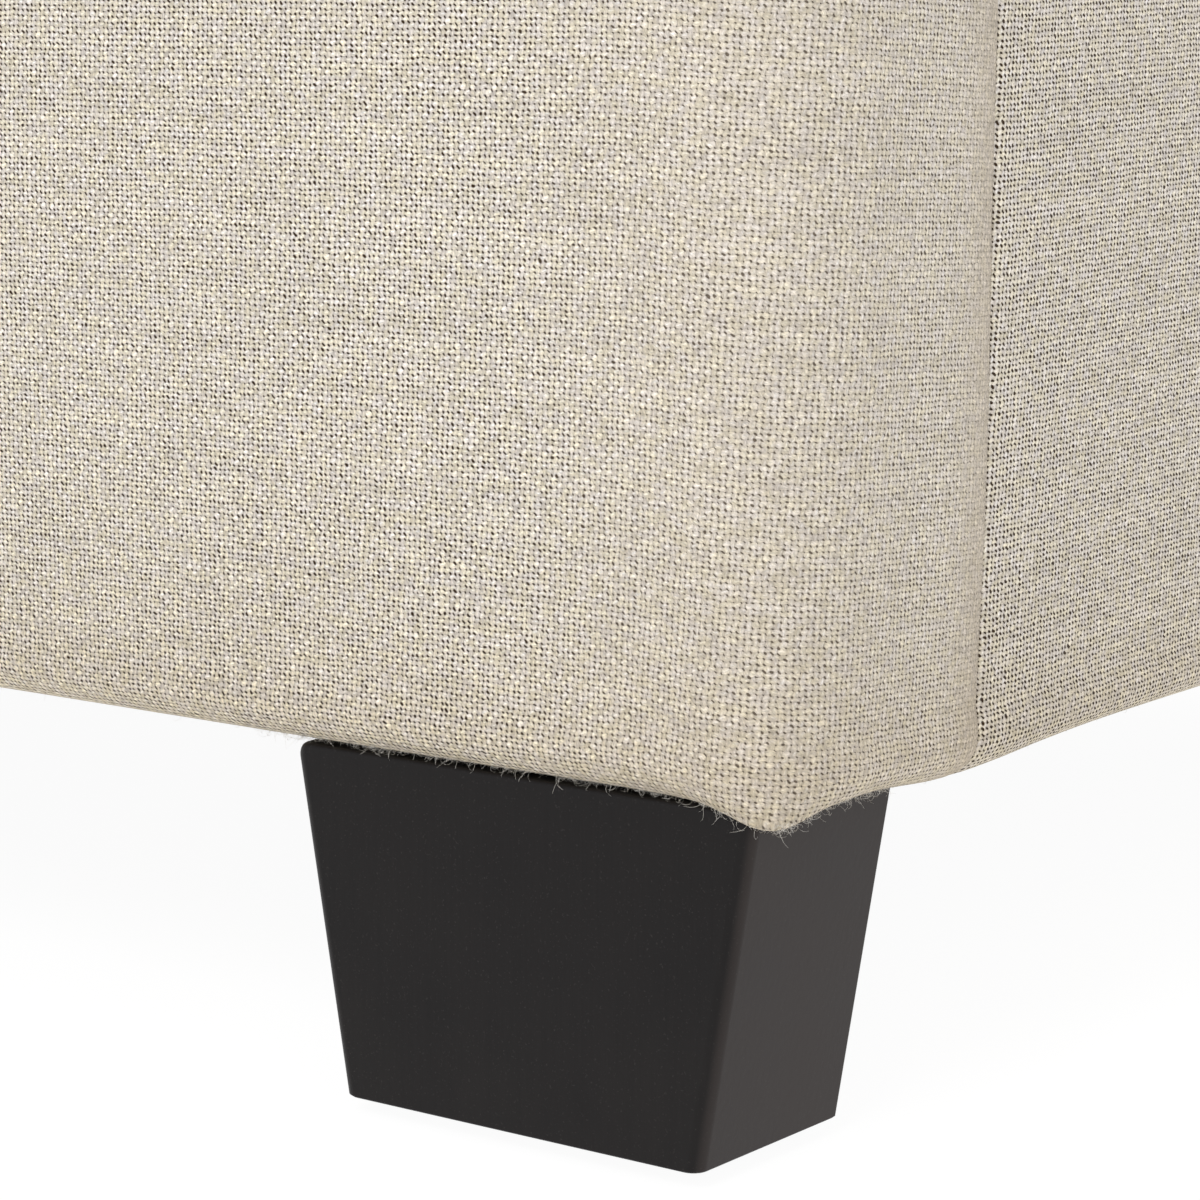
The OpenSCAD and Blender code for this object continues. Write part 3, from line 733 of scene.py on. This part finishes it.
def shape_roll(outline, profile, inset, height, opening):
    """Box walls only: the roll is squarer than round, and cloth gathers in it under rounded corners."""
    depth, z, t = profile
    s = outline.s[:, None]
    low = bell(np.maximum(t - roll_top(profile), 0), BULGE_H)
    roll = np.clip(1.5 - depth / ROLL_R, 0, 1)
    under = np.clip((BASE_LOW + ROLL_R * 1.1 - z) / ROLL_R, 0, 1)
    square = ROLL_SQUARE * np.sin(np.clip((ROLL_R + BASE_LOW - z) / ROLL_R, 0, 1) * math.pi)
    square = square * (depth < ROLL_R * 1.01) * (end_share(outline)[:, None] if outline.wraps else 1.0)
    inset = inset - square
    height = height - square
    for corner in corners_of(outline):
        opening = opening - CORNER_TIGHT * bell(s - corner, 40 * MM)
        near = tail(s - corner, BULGE_W)
        inset = inset - (BULGE_OUT * low * roll + BULGE_SQUARE * np.minimum(inset, ROLL_R) * roll) * near
        height = height - BULGE_DROP * near * under
    return inset, height, opening


def roll_top(profile):
    """Length along the section to where the roll goes over into the wall."""
    _, z, t = profile
    return t[0, np.argmin(np.abs(z - BASE_LOW - ROLL_R))]


def seam_lean(outline, z, seams, bottom):
    """How far cloth beside a seam lies askew along the wall, most where it is tucked under."""
    lean = LEAN_UP + LEAN_LOW * bell(np.maximum(z - BASE_LOW, 0.0), 40 * MM) if bottom else 0.0
    moved = np.zeros((len(outline.s), z.size))
    for place in seams:
        share = np.clip(1 - np.abs(outline.s[:, None] - place) / LEAN_REACH, 0, 1)
        share = share * np.abs(outline.nx[:, None])
        moved = moved + np.sign(np.interp(place, outline.s, outline.y)) * lean * share
    return moved


def cut_length(points, profile, bottom):
    """Length down the shaped cloth, as its flat cut has it, counted from one level of the wall."""
    _, z, t = profile
    step = np.linalg.norm(np.diff(points, axis=1), axis=2)
    run = np.concatenate([np.zeros((len(points), 1)), np.cumsum(step, axis=1)], axis=1)
    level = int(np.argmin(np.abs(z - BASE_LOW - CUT_LEVEL))) if bottom else 0
    run = run - run[:, level:level + 1] + t[0, level]
    if bottom:
        # The cloth is stretched where it goes round the roll
        past = np.clip((roll_top(profile) - 6 * MM - t) / (8 * MM), 0, 1)
        run = run + ROLL_STRETCH * past * past * (3 - 2 * past)
    return run


def padded_wall(name, outline, profile, seed, bottom=True):
    """Fabric over padding: the section swept round the outline, then shaped as soft cloth.

    It has a seam at each end of its outline. The lid's border has no roll at its bottom.
    """
    profile = [row[None, :] for row in profile]
    depth, z, t = profile
    s = outline.s[:, None]
    seams = (0.0, outline.length)
    seam_width = WRAP_SEAM if outline.wraps else END_SEAM
    inset = np.minimum(depth, outline.depth[:, None])
    height = np.broadcast_to(z, inset.shape).copy()
    upright = bell(np.maximum(depth - 2 * MM, 0.0), 6 * MM)
    tucked = np.clip((BASE_LOW + ROLL_R - z) / ROLL_R, 0, 1) if bottom else 0.0
    # Seams pull the fabric in, and open or press the weave beside them
    opening = np.full(inset.shape, WRAP_OPEN if outline.wraps else END_OPEN)
    for place in seams:
        away = np.abs(s - place)
        pull = 0.6 * MM * bell(away, seam_width) + 0.5 * MM * bell(away, 7 * MM)
        inset = inset + pull * upright
        if outline.wraps:
            opening = opening - SEAM_PRESSED * bell(away, 10 * MM)
        else:
            opening = opening + SEAM_OPEN * np.exp(-away / (7 * MM))
        height = height - SEAM_SAG * tail(away, 20 * MM) * tucked
    # The padding stands a little proud between the seams, and is uneven
    if bottom:
        crown = np.sin(np.clip((z - BASE_LOW) / (BASE_TOP - BASE_LOW), 0, 1) * math.pi)
    else:
        crown = upright * 0.4
    inset = inset - PROUD * crown * upright
    inset = inset - UNEVEN * ripple(s, t, seed, 0.09) * upright
    if bottom:
        inset, height, opening = shape_roll(outline, profile, inset, height, opening)
    x = outline.x[:, None] - outline.nx[:, None] * inset
    y = outline.y[:, None] - outline.ny[:, None] * inset
    moved = seam_lean(outline, z, seams, bottom)
    points = np.stack([x, y + moved, height], axis=-1)
    run = cut_length(points, profile, bottom)
    cut_u, cut_v = skewed(outline, s + outline.nx[:, None] * moved, run)
    return cloth_grid(name, points, cut_u, cut_v, opening), points


def skewed(outline, s, t):
    """Cut coordinates of the cloth: its yarns are pulled a few degrees askew near the corners."""
    middle = outline.length / 2
    if not outline.wraps:
        return (s - 0.05 * t * np.clip((middle - s) / middle, -1, 1),
                t - 0.026 * (middle - np.abs(s - middle)))
    face_start, face_end = outline.breaks[2:4]
    near = np.clip(np.abs(s - middle) / (face_end - middle), 0, 1) ** 2 * np.sign(s - middle)
    past = np.maximum(np.maximum(face_start - s, s - face_end) + 10 * MM, 0.0)
    return s - 0.045 * t * near, t + 0.057 * past


def end_share(outline):
    """How much of its squareness the roll has at each sample: 0.6 on the long face, 1 on the ends."""
    face_start, face_end = outline.breaks[2:4]
    past = np.maximum(face_start - outline.s, outline.s - face_end)
    return 0.6 + 0.4 * np.clip(past / (30 * MM), 0, 1)


def corners_of(outline):
    """Where the fabric gathers under each rounded corner, a little to the long side."""
    if not outline.wraps:
        return []
    return [(outline.breaks[k] + outline.breaks[k + 1]) / 2 + shift
            for k, shift in ((1, BULGE_SHIFT), (3, -BULGE_SHIFT))]


# ---- Box upholstery ----

PATHS = {"front": wrap_outline(FRONT_SEAM, FRONT_Y, -1), "rear": wrap_outline(REAR_SEAM, REAR_Y, 1),
         "left": end_outline(-1), "right": end_outline(1)}
BOX_PROFILE = box_section()
walls = []

for seed, (side, path) in enumerate(PATHS.items(), 11):
    piece, surface = padded_wall(side + "_upholstery", path, BOX_PROFILE, seed)
    settle(piece, "box", "upholstery", (side + "_cover", side + "_foam"))
    walls.append((path, surface))


# ---- Feet ----

def rounded_in(z, top, radius):
    """How far a rounded top edge stands in from the side at height z."""
    rise = np.clip(z - (top - radius), 0.0, radius)
    return radius - math.sqrt(max(radius * radius - rise * rise, 0.0))


def foot_block(name, low, high):
    """Tapered block: outer upright edges and the tops of its ends are rounded, other edges eased."""
    outer = -1 if low.y < 0 else 1
    middle_x, middle_y = (low.x + high.x) / 2, (low.y + high.y) / 2
    turned = [FOOT_ROUND * (1 - math.sin(k * QUARTER / FOOT_STEPS)) for k in range(FOOT_STEPS + 1)]
    eased = [FOOT_EASED * share for share in (1.0, 0.7, 0.4, 0.15)]
    levels = [low.z, low.z + FOOT_CHAMFER]
    levels += [high.z - drop for drop in sorted(set(turned + eased), reverse=True)]
    points, faces = [], []
    for z in levels:
        chamfer = FOOT_CHAMFER if z == low.z else 0.0
        lean = FOOT_TAPER * (high.z - z) / (high.z - low.z)
        half_x = (high.x - low.x) / 2 - lean - chamfer - rounded_in(z, high.z, FOOT_ROUND)
        half_y = (high.y - low.y) / 2 - chamfer - rounded_in(z, high.z, FOOT_EASED)
        for corner, (sx, sy) in enumerate(((1, 1), (-1, 1), (-1, -1), (1, -1))):
            radius = FOOT_ROUND if sy == outer else FOOT_INNER
            for k in range(FOOT_STEPS + 1):
                angle = (corner + k / FOOT_STEPS) * QUARTER
                points.append((middle_x + sx * (half_x - radius) + radius * math.cos(angle),
                               middle_y + sy * (half_y - radius) + radius * math.sin(angle), z))
    count = len(points) // len(levels)
    for ring in range(len(levels) - 1):
        for k in range(count):
            a, b = ring * count + k, ring * count + (k + 1) % count
            faces.append((a, b, b + count, a + count))
    faces.append(tuple(range(count - 1, -1, -1)))
    faces.append(tuple(range(len(points) - count, len(points))))
    return clean(new_mesh(name, points, faces))


for foot, (low, high) in FOOT_BOXES.items():
    piece = foot_block(foot + "_block", low, high)
    flat = piece.modifiers.new("flat_faces", "WEIGHTED_NORMAL")
    flat.keep_sharp = True
    settle(piece, "box", "black_wood", (foot,))


# ---- Lid: border and swollen top ----

def seam_pull(z):
    """How far the seam between the border and the top pulls the cloth in at height z."""
    return 1.0 * MM * bell(z - LID_SEAM, 2.2 * MM)


depth, z, t = border_section()
border_profile = [depth + seam_pull(z), z, t]

for seed, (side, path) in enumerate(PATHS.items(), 21):
    piece, _ = padded_wall("lid_border_" + side, path, border_profile, seed, bottom=False)
    settle(piece, "lid", "upholstery", ("lid_border_cover", "lid_foam") if side == "front" else ())


def hold_and_swell(piece, held, pressure, cap, frames=20):
    """Runs cloth over a piece whose held points stay, and keeps the swollen shape."""
    rest = np.array([v.co for v in piece.data.vertices])
    group = piece.vertex_groups.new(name="held")
    group.add([int(k) for k in np.flatnonzero(held)], 1.0, "REPLACE")
    cloth = piece.modifiers.new("swell", "CLOTH")
    settings = cloth.settings
    settings.vertex_group_mass = "held"
    settings.quality = 6
    settings.mass = 0.3
    settings.use_pressure = True
    settings.uniform_pressure_force = pressure
    settings.effector_weights.gravity = 0.0
    cloth.point_cache.frame_start = 1
    cloth.point_cache.frame_end = frames
    for step in range(1, frames + 1):
        scene.frame_set(step)
    shaped = piece.evaluated_get(bpy.context.evaluated_depsgraph_get())
    moved = np.array([v.co for v in shaped.data.vertices]) - rest
    piece.modifiers.remove(cloth)
    piece.vertex_groups.clear()
    scene.frame_set(1)
    length = np.linalg.norm(moved, axis=1)
    share = cap * np.tanh(length / cap) / np.maximum(length, 1e-9)
    piece.data.vertices.foreach_set("co", (rest + moved * share[:, None]).ravel())
    piece.data.update()


def lid_axis(half):
    """Samples across the lid's top in one direction: places on the flat cut, and places in plan."""
    rounding = LID_EDGE_R * QUARTER
    flat = half - LID_EDGE_R
    cut = graded(2 * (flat + rounding), 0.8 * MM, 0.8 * MM, 7.5 * MM) - flat - rounding
    past = np.maximum(np.abs(cut) - flat, 0.0) / LID_EDGE_R
    return cut, np.sign(cut) * (np.minimum(np.abs(cut), flat) + LID_EDGE_R * np.sin(past))


def lid_top():
    """The lid's top panel as a flat cut, rounded down to the seam along its edges."""
    half_x, middle_y, half_y = END_X, (FRONT_Y + REAR_Y) / 2, (REAR_Y - FRONT_Y) / 2
    cut_x, plan_x = lid_axis(half_x)
    cut_y, plan_y = lid_axis(half_y)
    px, py = np.meshgrid(plan_x, plan_y, indexing="ij")
    # The square corners of the plan are drawn in to round ones
    p = np.clip((np.abs(px) - half_x + CORNER_R) / CORNER_R, 0, 1)
    q = np.clip((np.abs(py) - half_y + CORNER_R) / CORNER_R, 0, 1)
    round_p = p * np.sqrt(1 - q * q / 2)
    round_q = q * np.sqrt(1 - p * p / 2)
    x = np.where(p > 0, np.sign(px) * (half_x - CORNER_R + CORNER_R * round_p), px)
    y = np.where(q > 0, np.sign(py) * (half_y - CORNER_R + CORNER_R * round_q), py)
    in_corner = (p > 0) & (q > 0)
    inset = np.where(in_corner, CORNER_R * (1 - np.hypot(round_p, round_q)),
                     np.minimum(half_x - np.abs(x), half_y - np.abs(y)))
    fall = np.maximum(LID_EDGE_R - np.maximum(inset, 0.0), 0.0)
    z = LID_SEAM + np.sqrt(np.maximum(LID_EDGE_R ** 2 - fall ** 2, 0.0)) + (LID_TOP - LID_SEAM - LID_EDGE_R)
    pull = seam_pull(z)
    x = x - np.sign(x) * pull * np.where(in_corner, round_p, half_x - np.abs(x) < half_y - np.abs(y))
    y = y - np.sign(y) * pull * np.where(in_corner, round_q, half_x - np.abs(x) >= half_y - np.abs(y))
    points = np.stack([x, y + middle_y, z], axis=-1)
    u, v = np.meshgrid(cut_x, cut_y, indexing="ij")
    return cloth_grid("lid_top_cushion", points, u, v, thickness=0.0)


top = lid_top()
heights = np.array([v.co.z for v in top.data.vertices])
hold_and_swell(top, heights < LID_SEAM + LID_HELD, pressure=4.0, cap=LID_SWELL)
finer = top.modifiers.new("finer", "SUBSURF")
finer.levels = finer.render_levels = 1
thicken(top, CLOTH_T)
settle(top, "lid", "upholstery", ("lid_top_cover",))


# ---- Linings and dust cover ----

def middle_of(node):
    low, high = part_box(node)
    return (low + high) / 2


def flat_cloth(node, body, slot, sag, seed, masks=(), up=False):
    """A sheet cut to a rectangle, fixed along its edges, a little slack between them.

    It stays flat round each mask: the middle of a piece that holds it, and how far that reaches.
    """
    low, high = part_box(node)
    xs = low.x + graded(high.x - low.x, LINING_STEP, LINING_STEP, WIDEST_STEP)
    ys = low.y + graded(high.y - low.y, LINING_STEP, LINING_STEP, WIDEST_STEP)
    x, y = np.meshgrid(xs, ys, indexing="ij")
    edge = np.minimum(np.minimum(x - low.x, high.x - x), np.minimum(y - low.y, high.y - y))
    free = np.clip(edge / (40 * MM), 0, 1)
    free = free * free * (3 - 2 * free)
    for middle, radius in masks:
        free = free * np.clip((np.hypot(x - middle.x, y - middle.y) - radius) / (30 * MM), 0, 1)
    z = (high.z if up else low.z) + sag * free * (0.55 + 0.45 * ripple(x, y, seed, 0.16))
    points = np.stack([x, y, z], axis=-1)
    if not up:
        points, x, y = points[::-1], x[::-1], y[::-1]
    piece = cloth_grid(node + "_cloth", points, x, y, thickness=LINING_T)
    settle(piece, body, slot, (node,))


flat_cloth("floor_lining", "box", "lining", 1.2 * MM, 31, up=True)
flat_cloth("lid_lining", "lid", "lining", -0.9 * MM, 32,
           [(middle_of(side + "_lid_bracket"), 24 * MM) for side in ("left", "right")])
flat_cloth("dust_cover", "box", "dust_cloth", -2.0 * MM, 33,
           [(middle_of(foot), 60 * MM) for foot in FOOT_BOXES])


def bend_in(centre, radius, start_angle, end_angle):
    """Round inside corner, whose outward side is the middle of the box."""
    x, y, nx, ny, depth, along = bend(centre, radius, start_angle, end_angle, pieces=6)
    return [x, y, -nx, -ny, depth, along]


def wall_lining():
    """The lining sewn to one loop round the inside of the walls."""
    low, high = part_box("wall_lining")
    radius = 4 * MM
    inset = LINING_T + radius
    x0, x1, y0, y1 = low.x + inset, high.x - inset, low.y + inset, high.y - inset
    centres = [(x0, y0), (x0, y1), (x1, y1), (x1, y0), (x0, y0)]
    stretches = []
    # Clockwise from above, so that the cloth's face looks into the box
    for k, inward in enumerate(((1.0, 0.0), (0.0, -1.0), (-1.0, 0.0), (0.0, 1.0))):
        start, end = [np.array(centre) - radius * np.array(inward) for centre in centres[k:k + 2]]
        stretches.append(straight(start, end, inward, LINING_STEP, LINING_STEP))
        stretches.append(bend_in(centres[k + 1], radius, (2 - k) * QUARTER, (1 - k) * QUARTER))
    loop = Outline(stretches)
    height = high.z - low.z
    t = graded(height, LINING_STEP, LINING_STEP, WIDEST_STEP)
    s = loop.s[:, None]
    corner = np.min([np.abs(s - b) for b in loop.breaks], axis=0)
    free = np.clip(corner / (60 * MM), 0, 1) * np.clip(np.minimum(t, height - t) / (50 * MM), 0, 1)[None, :]
    x, y, z = np.broadcast_arrays(loop.x[:, None], loop.y[:, None], low.z + t[None, :])
    # It stays flat under the strut brackets
    for side in ("left", "right"):
        held = middle_of(side + "_base_bracket")
        near = np.sqrt((x - held.x) ** 2 + (y - held.y) ** 2 + (z - held.z) ** 2)
        free = free * np.clip((near - 34 * MM) / (40 * MM), 0, 1)
    out = 1.1 * MM * free * (0.7 + 0.6 * ripple(s, t[None, :], 34, 0.2))
    points = np.stack([x + loop.nx[:, None] * out, y + loop.ny[:, None] * out, z], axis=-1)
    piece = cloth_grid("wall_lining_cloth", points, s, t[None, :], thickness=LINING_T)
    settle(piece, "box", "lining", ("wall_lining",))


wall_lining()


# ---- Staples ----

def staples(name, places, body):
    """Wire staples whose crowns lie on the cloth. Each place is x, y, z and a direction along the crown."""
    made = bmesh.new()
    for x, y, z, angle in places:
        turned = angle + rng.uniform(-0.12, 0.12)
        spread = Vector((math.cos(turned), math.sin(turned), 0.0))
        aside = Vector((-spread.y, spread.x, 0.0))
        for vert in bmesh.ops.create_cube(made, size=1.0)["verts"]:
            local = vert.co.copy()
            shoulder = 1.0 if local.z < 0 else 0.86
            vert.co = (Vector((x, y, z)) + spread * local.x * STAPLE_LONG * shoulder
                       + aside * local.y * STAPLE_WIDE + Vector((0, 0, local.z * STAPLE_THICK)))
    bmesh.ops.bevel(made, geom=list(made.edges), offset=STAPLE_ROUND, segments=2, affect="EDGES")
    mesh = bpy.data.meshes.new(name)
    made.to_mesh(mesh)
    made.free()
    settle(put_in_scene(name, mesh), body, "steel")


def round_edge(node, inset, pitch):
    """Places along the edge of a flat cloth, inset from it, just under its lower face."""
    low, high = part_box(node)
    z = low.z - 0.15 * MM
    x0, x1, y0, y1 = low.x + inset, high.x - inset, low.y + inset, high.y - inset
    across, deep = int((x1 - x0) / pitch), int((y1 - y0) / pitch)
    found = [(x0 + (x1 - x0) * ((k + 0.5) / across), y, z, 0.0) for k in range(across) for y in (y0, y1)]
    found += [(x, y0 + (y1 - y0) * ((k + 0.5) / deep), z, QUARTER) for k in range(deep) for x in (x0, x1)]
    return found


staples("lid_lining_staples", round_edge("lid_lining", 5 * MM, 38 * MM), "lid")
staples("dust_cover_staples", round_edge("dust_cover", 6 * MM, 42 * MM), "box")


# ---- Loose fibres along the lower edge ----

class Fibres:
    """Thin curly fibres of three sides each, in one mesh."""

    def __init__(self):
        self.points, self.faces = [], []

    def grow(self, root, outward, along):
        """One fibre from root, which heads outward with chance and curls."""
        length = min(rng.exponential(1.0 * MM) + 0.5 * MM, HAIR_LONGEST)
        level = Vector((outward.x, outward.y, 0.0)).normalized()
        heading = (outward * rng.uniform(0.2, 1.0) + along * rng.normal(0, 0.9) + level * 0.4).normalized()
        turn = Vector(rng.normal(0, 1, 3)).normalized() * rng.uniform(0.3, 1.2)
        place = root - outward * 0.1 * MM
        start = len(self.points)
        for k in range(HAIR_STEPS):
            thick = HAIR_RADIUS * (1 - 0.5 * k / (HAIR_STEPS - 1))
            side = heading.orthogonal().normalized()
            other = heading.cross(side)
            for c in range(3):
                angle = 2 * math.pi * c / 3
                self.points.append(place + (side * math.cos(angle) + other * math.sin(angle)) * thick)
            place = place + heading * (length / (HAIR_STEPS - 1))
            heading = (heading + turn.cross(heading) + Vector((0, 0, -0.05))).normalized()
        for k in range(HAIR_STEPS - 1):
            for c in range(3):
                a, b = start + 3 * k + c, start + 3 * k + (c + 1) % 3
                self.faces.append((a, b, b + 3, a + 3))
        last = start + 3 * (HAIR_STEPS - 1)
        self.faces.append((start + 2, start + 1, start))
        self.faces.append((last, last + 1, last + 2))


def above_foot(x, y):
    """Whether a point of the hem is beside a foot's front or right side, where the photograph has tufts."""
    return any(low.x - 2 * MM < x < high.x + 14 * MM and low.y - 12 * MM < y < high.y - 9 * MM
               for low, high in FOOT_BOXES.values())


def fuzz():
    """Fibres that stand out of the cloth along the roll under the walls, most of them above the feet."""
    fibres = Fibres()
    depth, z, _ = BOX_PROFILE
    rolled = np.flatnonzero((z < BASE_LOW + 0.25 * ROLL_R) & (depth < 0.999 * ROLL_R))
    for path, surface in walls:
        for spot in np.arange(0, path.length, HAIR_SPACING):
            row = np.clip(np.searchsorted(path.s, spot), 1, len(path.s) - 1)
            column = rng.choice(rolled)
            tuft = 0.55 + 0.25 * math.sin(spot / (2.1 * MM)) + 0.2 * math.sin(spot / (0.83 * MM) + 1)
            if rng.random() > (tuft if above_foot(*surface[row, column, :2]) else 0.008):
                continue
            share = (spot - path.s[row - 1]) / (path.s[row] - path.s[row - 1])
            before, after = surface[row - 1:row + 1, column]
            root = Vector(before + (after - before) * share)
            nx, ny = path.nx[row], path.ny[row]
            tilt = (z[column] - BASE_LOW - ROLL_R) / ROLL_R
            level = math.sqrt(max(1 - tilt * tilt, 0.0))
            fibres.grow(root, Vector((nx * level, ny * level, tilt)), Vector((-ny, nx, 0)))
    piece = new_mesh("hem_fibres", fibres.points, fibres.faces)
    settle(piece, "box", "upholstery", material="fibre")


fuzz()


# ---- Materials of the CAD pieces that show as they are ----

for row in frame["record"]["subparts"]:
    node = frame["nodes"][row["node"]]
    if not node.hide_render:
        dress(node, MATERIALS[row["material_slot"]])


# ---- Floor, light and camera ----

WHITE = (1.0, 1.0, 1.0, 1.0)


def floor_material():
    """A pale floor that glows almost white, so that the object stands on a white ground."""
    net = Net("studio_floor", Roughness=0.95, Specular_IOR_Level=0.1,
              Emission_Color=WHITE, Emission_Strength=0.95)
    tone = net.noise(net.place, 3.0, 2.0)
    net.paint(net.mix(tone, (0.09, 0.09, 0.09, 1), (0.11, 0.11, 0.11, 1)))
    return net.material


bpy.ops.mesh.primitive_plane_add(size=80.0, location=(0.0, 0.0, 0.0))
floor = bpy.context.object
floor.name = "studio_floor"
dress(floor, floor_material())

world = bpy.data.worlds.new("studio")
scene.world = world
world.use_nodes = True
sky = world.node_tree.nodes["Background"].inputs
sky["Color"].default_value = WHITE
sky["Strength"].default_value = 0.55


def aimed(name, data, place, direction):
    """Puts a lamp or camera at a place, looking along a direction."""
    made = put_in_scene(name, data)
    made.location = place
    made.rotation_euler = Vector(direction).to_track_quat("-Z", "Y").to_euler()
    return made


def area_light(name, place, target, size, power):
    data = bpy.data.lights.new(name, "AREA")
    data.shape = "DISK"
    data.size = size
    data.energy = power
    aimed(name, data, place, Vector(target) - Vector(place))


area_light("key", (1.0, -2.4, 2.0), (0.3, -0.2, 0.2), size=1.2, power=32)
area_light("side", (2.3, 2.3, 0.9), (0.5, -0.2, 0.03), size=1.6, power=10)

# The camera's place is measured in widths of the foot that the photograph shows
foot_low, foot_high = FOOT_BOXES["front_right_foot"]
unit = foot_high.x - foot_low.x
yaw, pitch = math.radians(-36.91), math.radians(-9.64)
camera_data = bpy.data.cameras.new("camera")
camera_data.lens = 119.5
camera_data.sensor_width = 36.0
camera_data.clip_start = 0.05
scene.camera = aimed(
    "camera", camera_data,
    (foot_high.x + 3.608 * unit, foot_low.y - 5.223 * unit, foot_low.z + 2.067 * unit),
    (math.sin(yaw) * math.cos(pitch), math.cos(yaw) * math.cos(pitch), math.sin(pitch)))
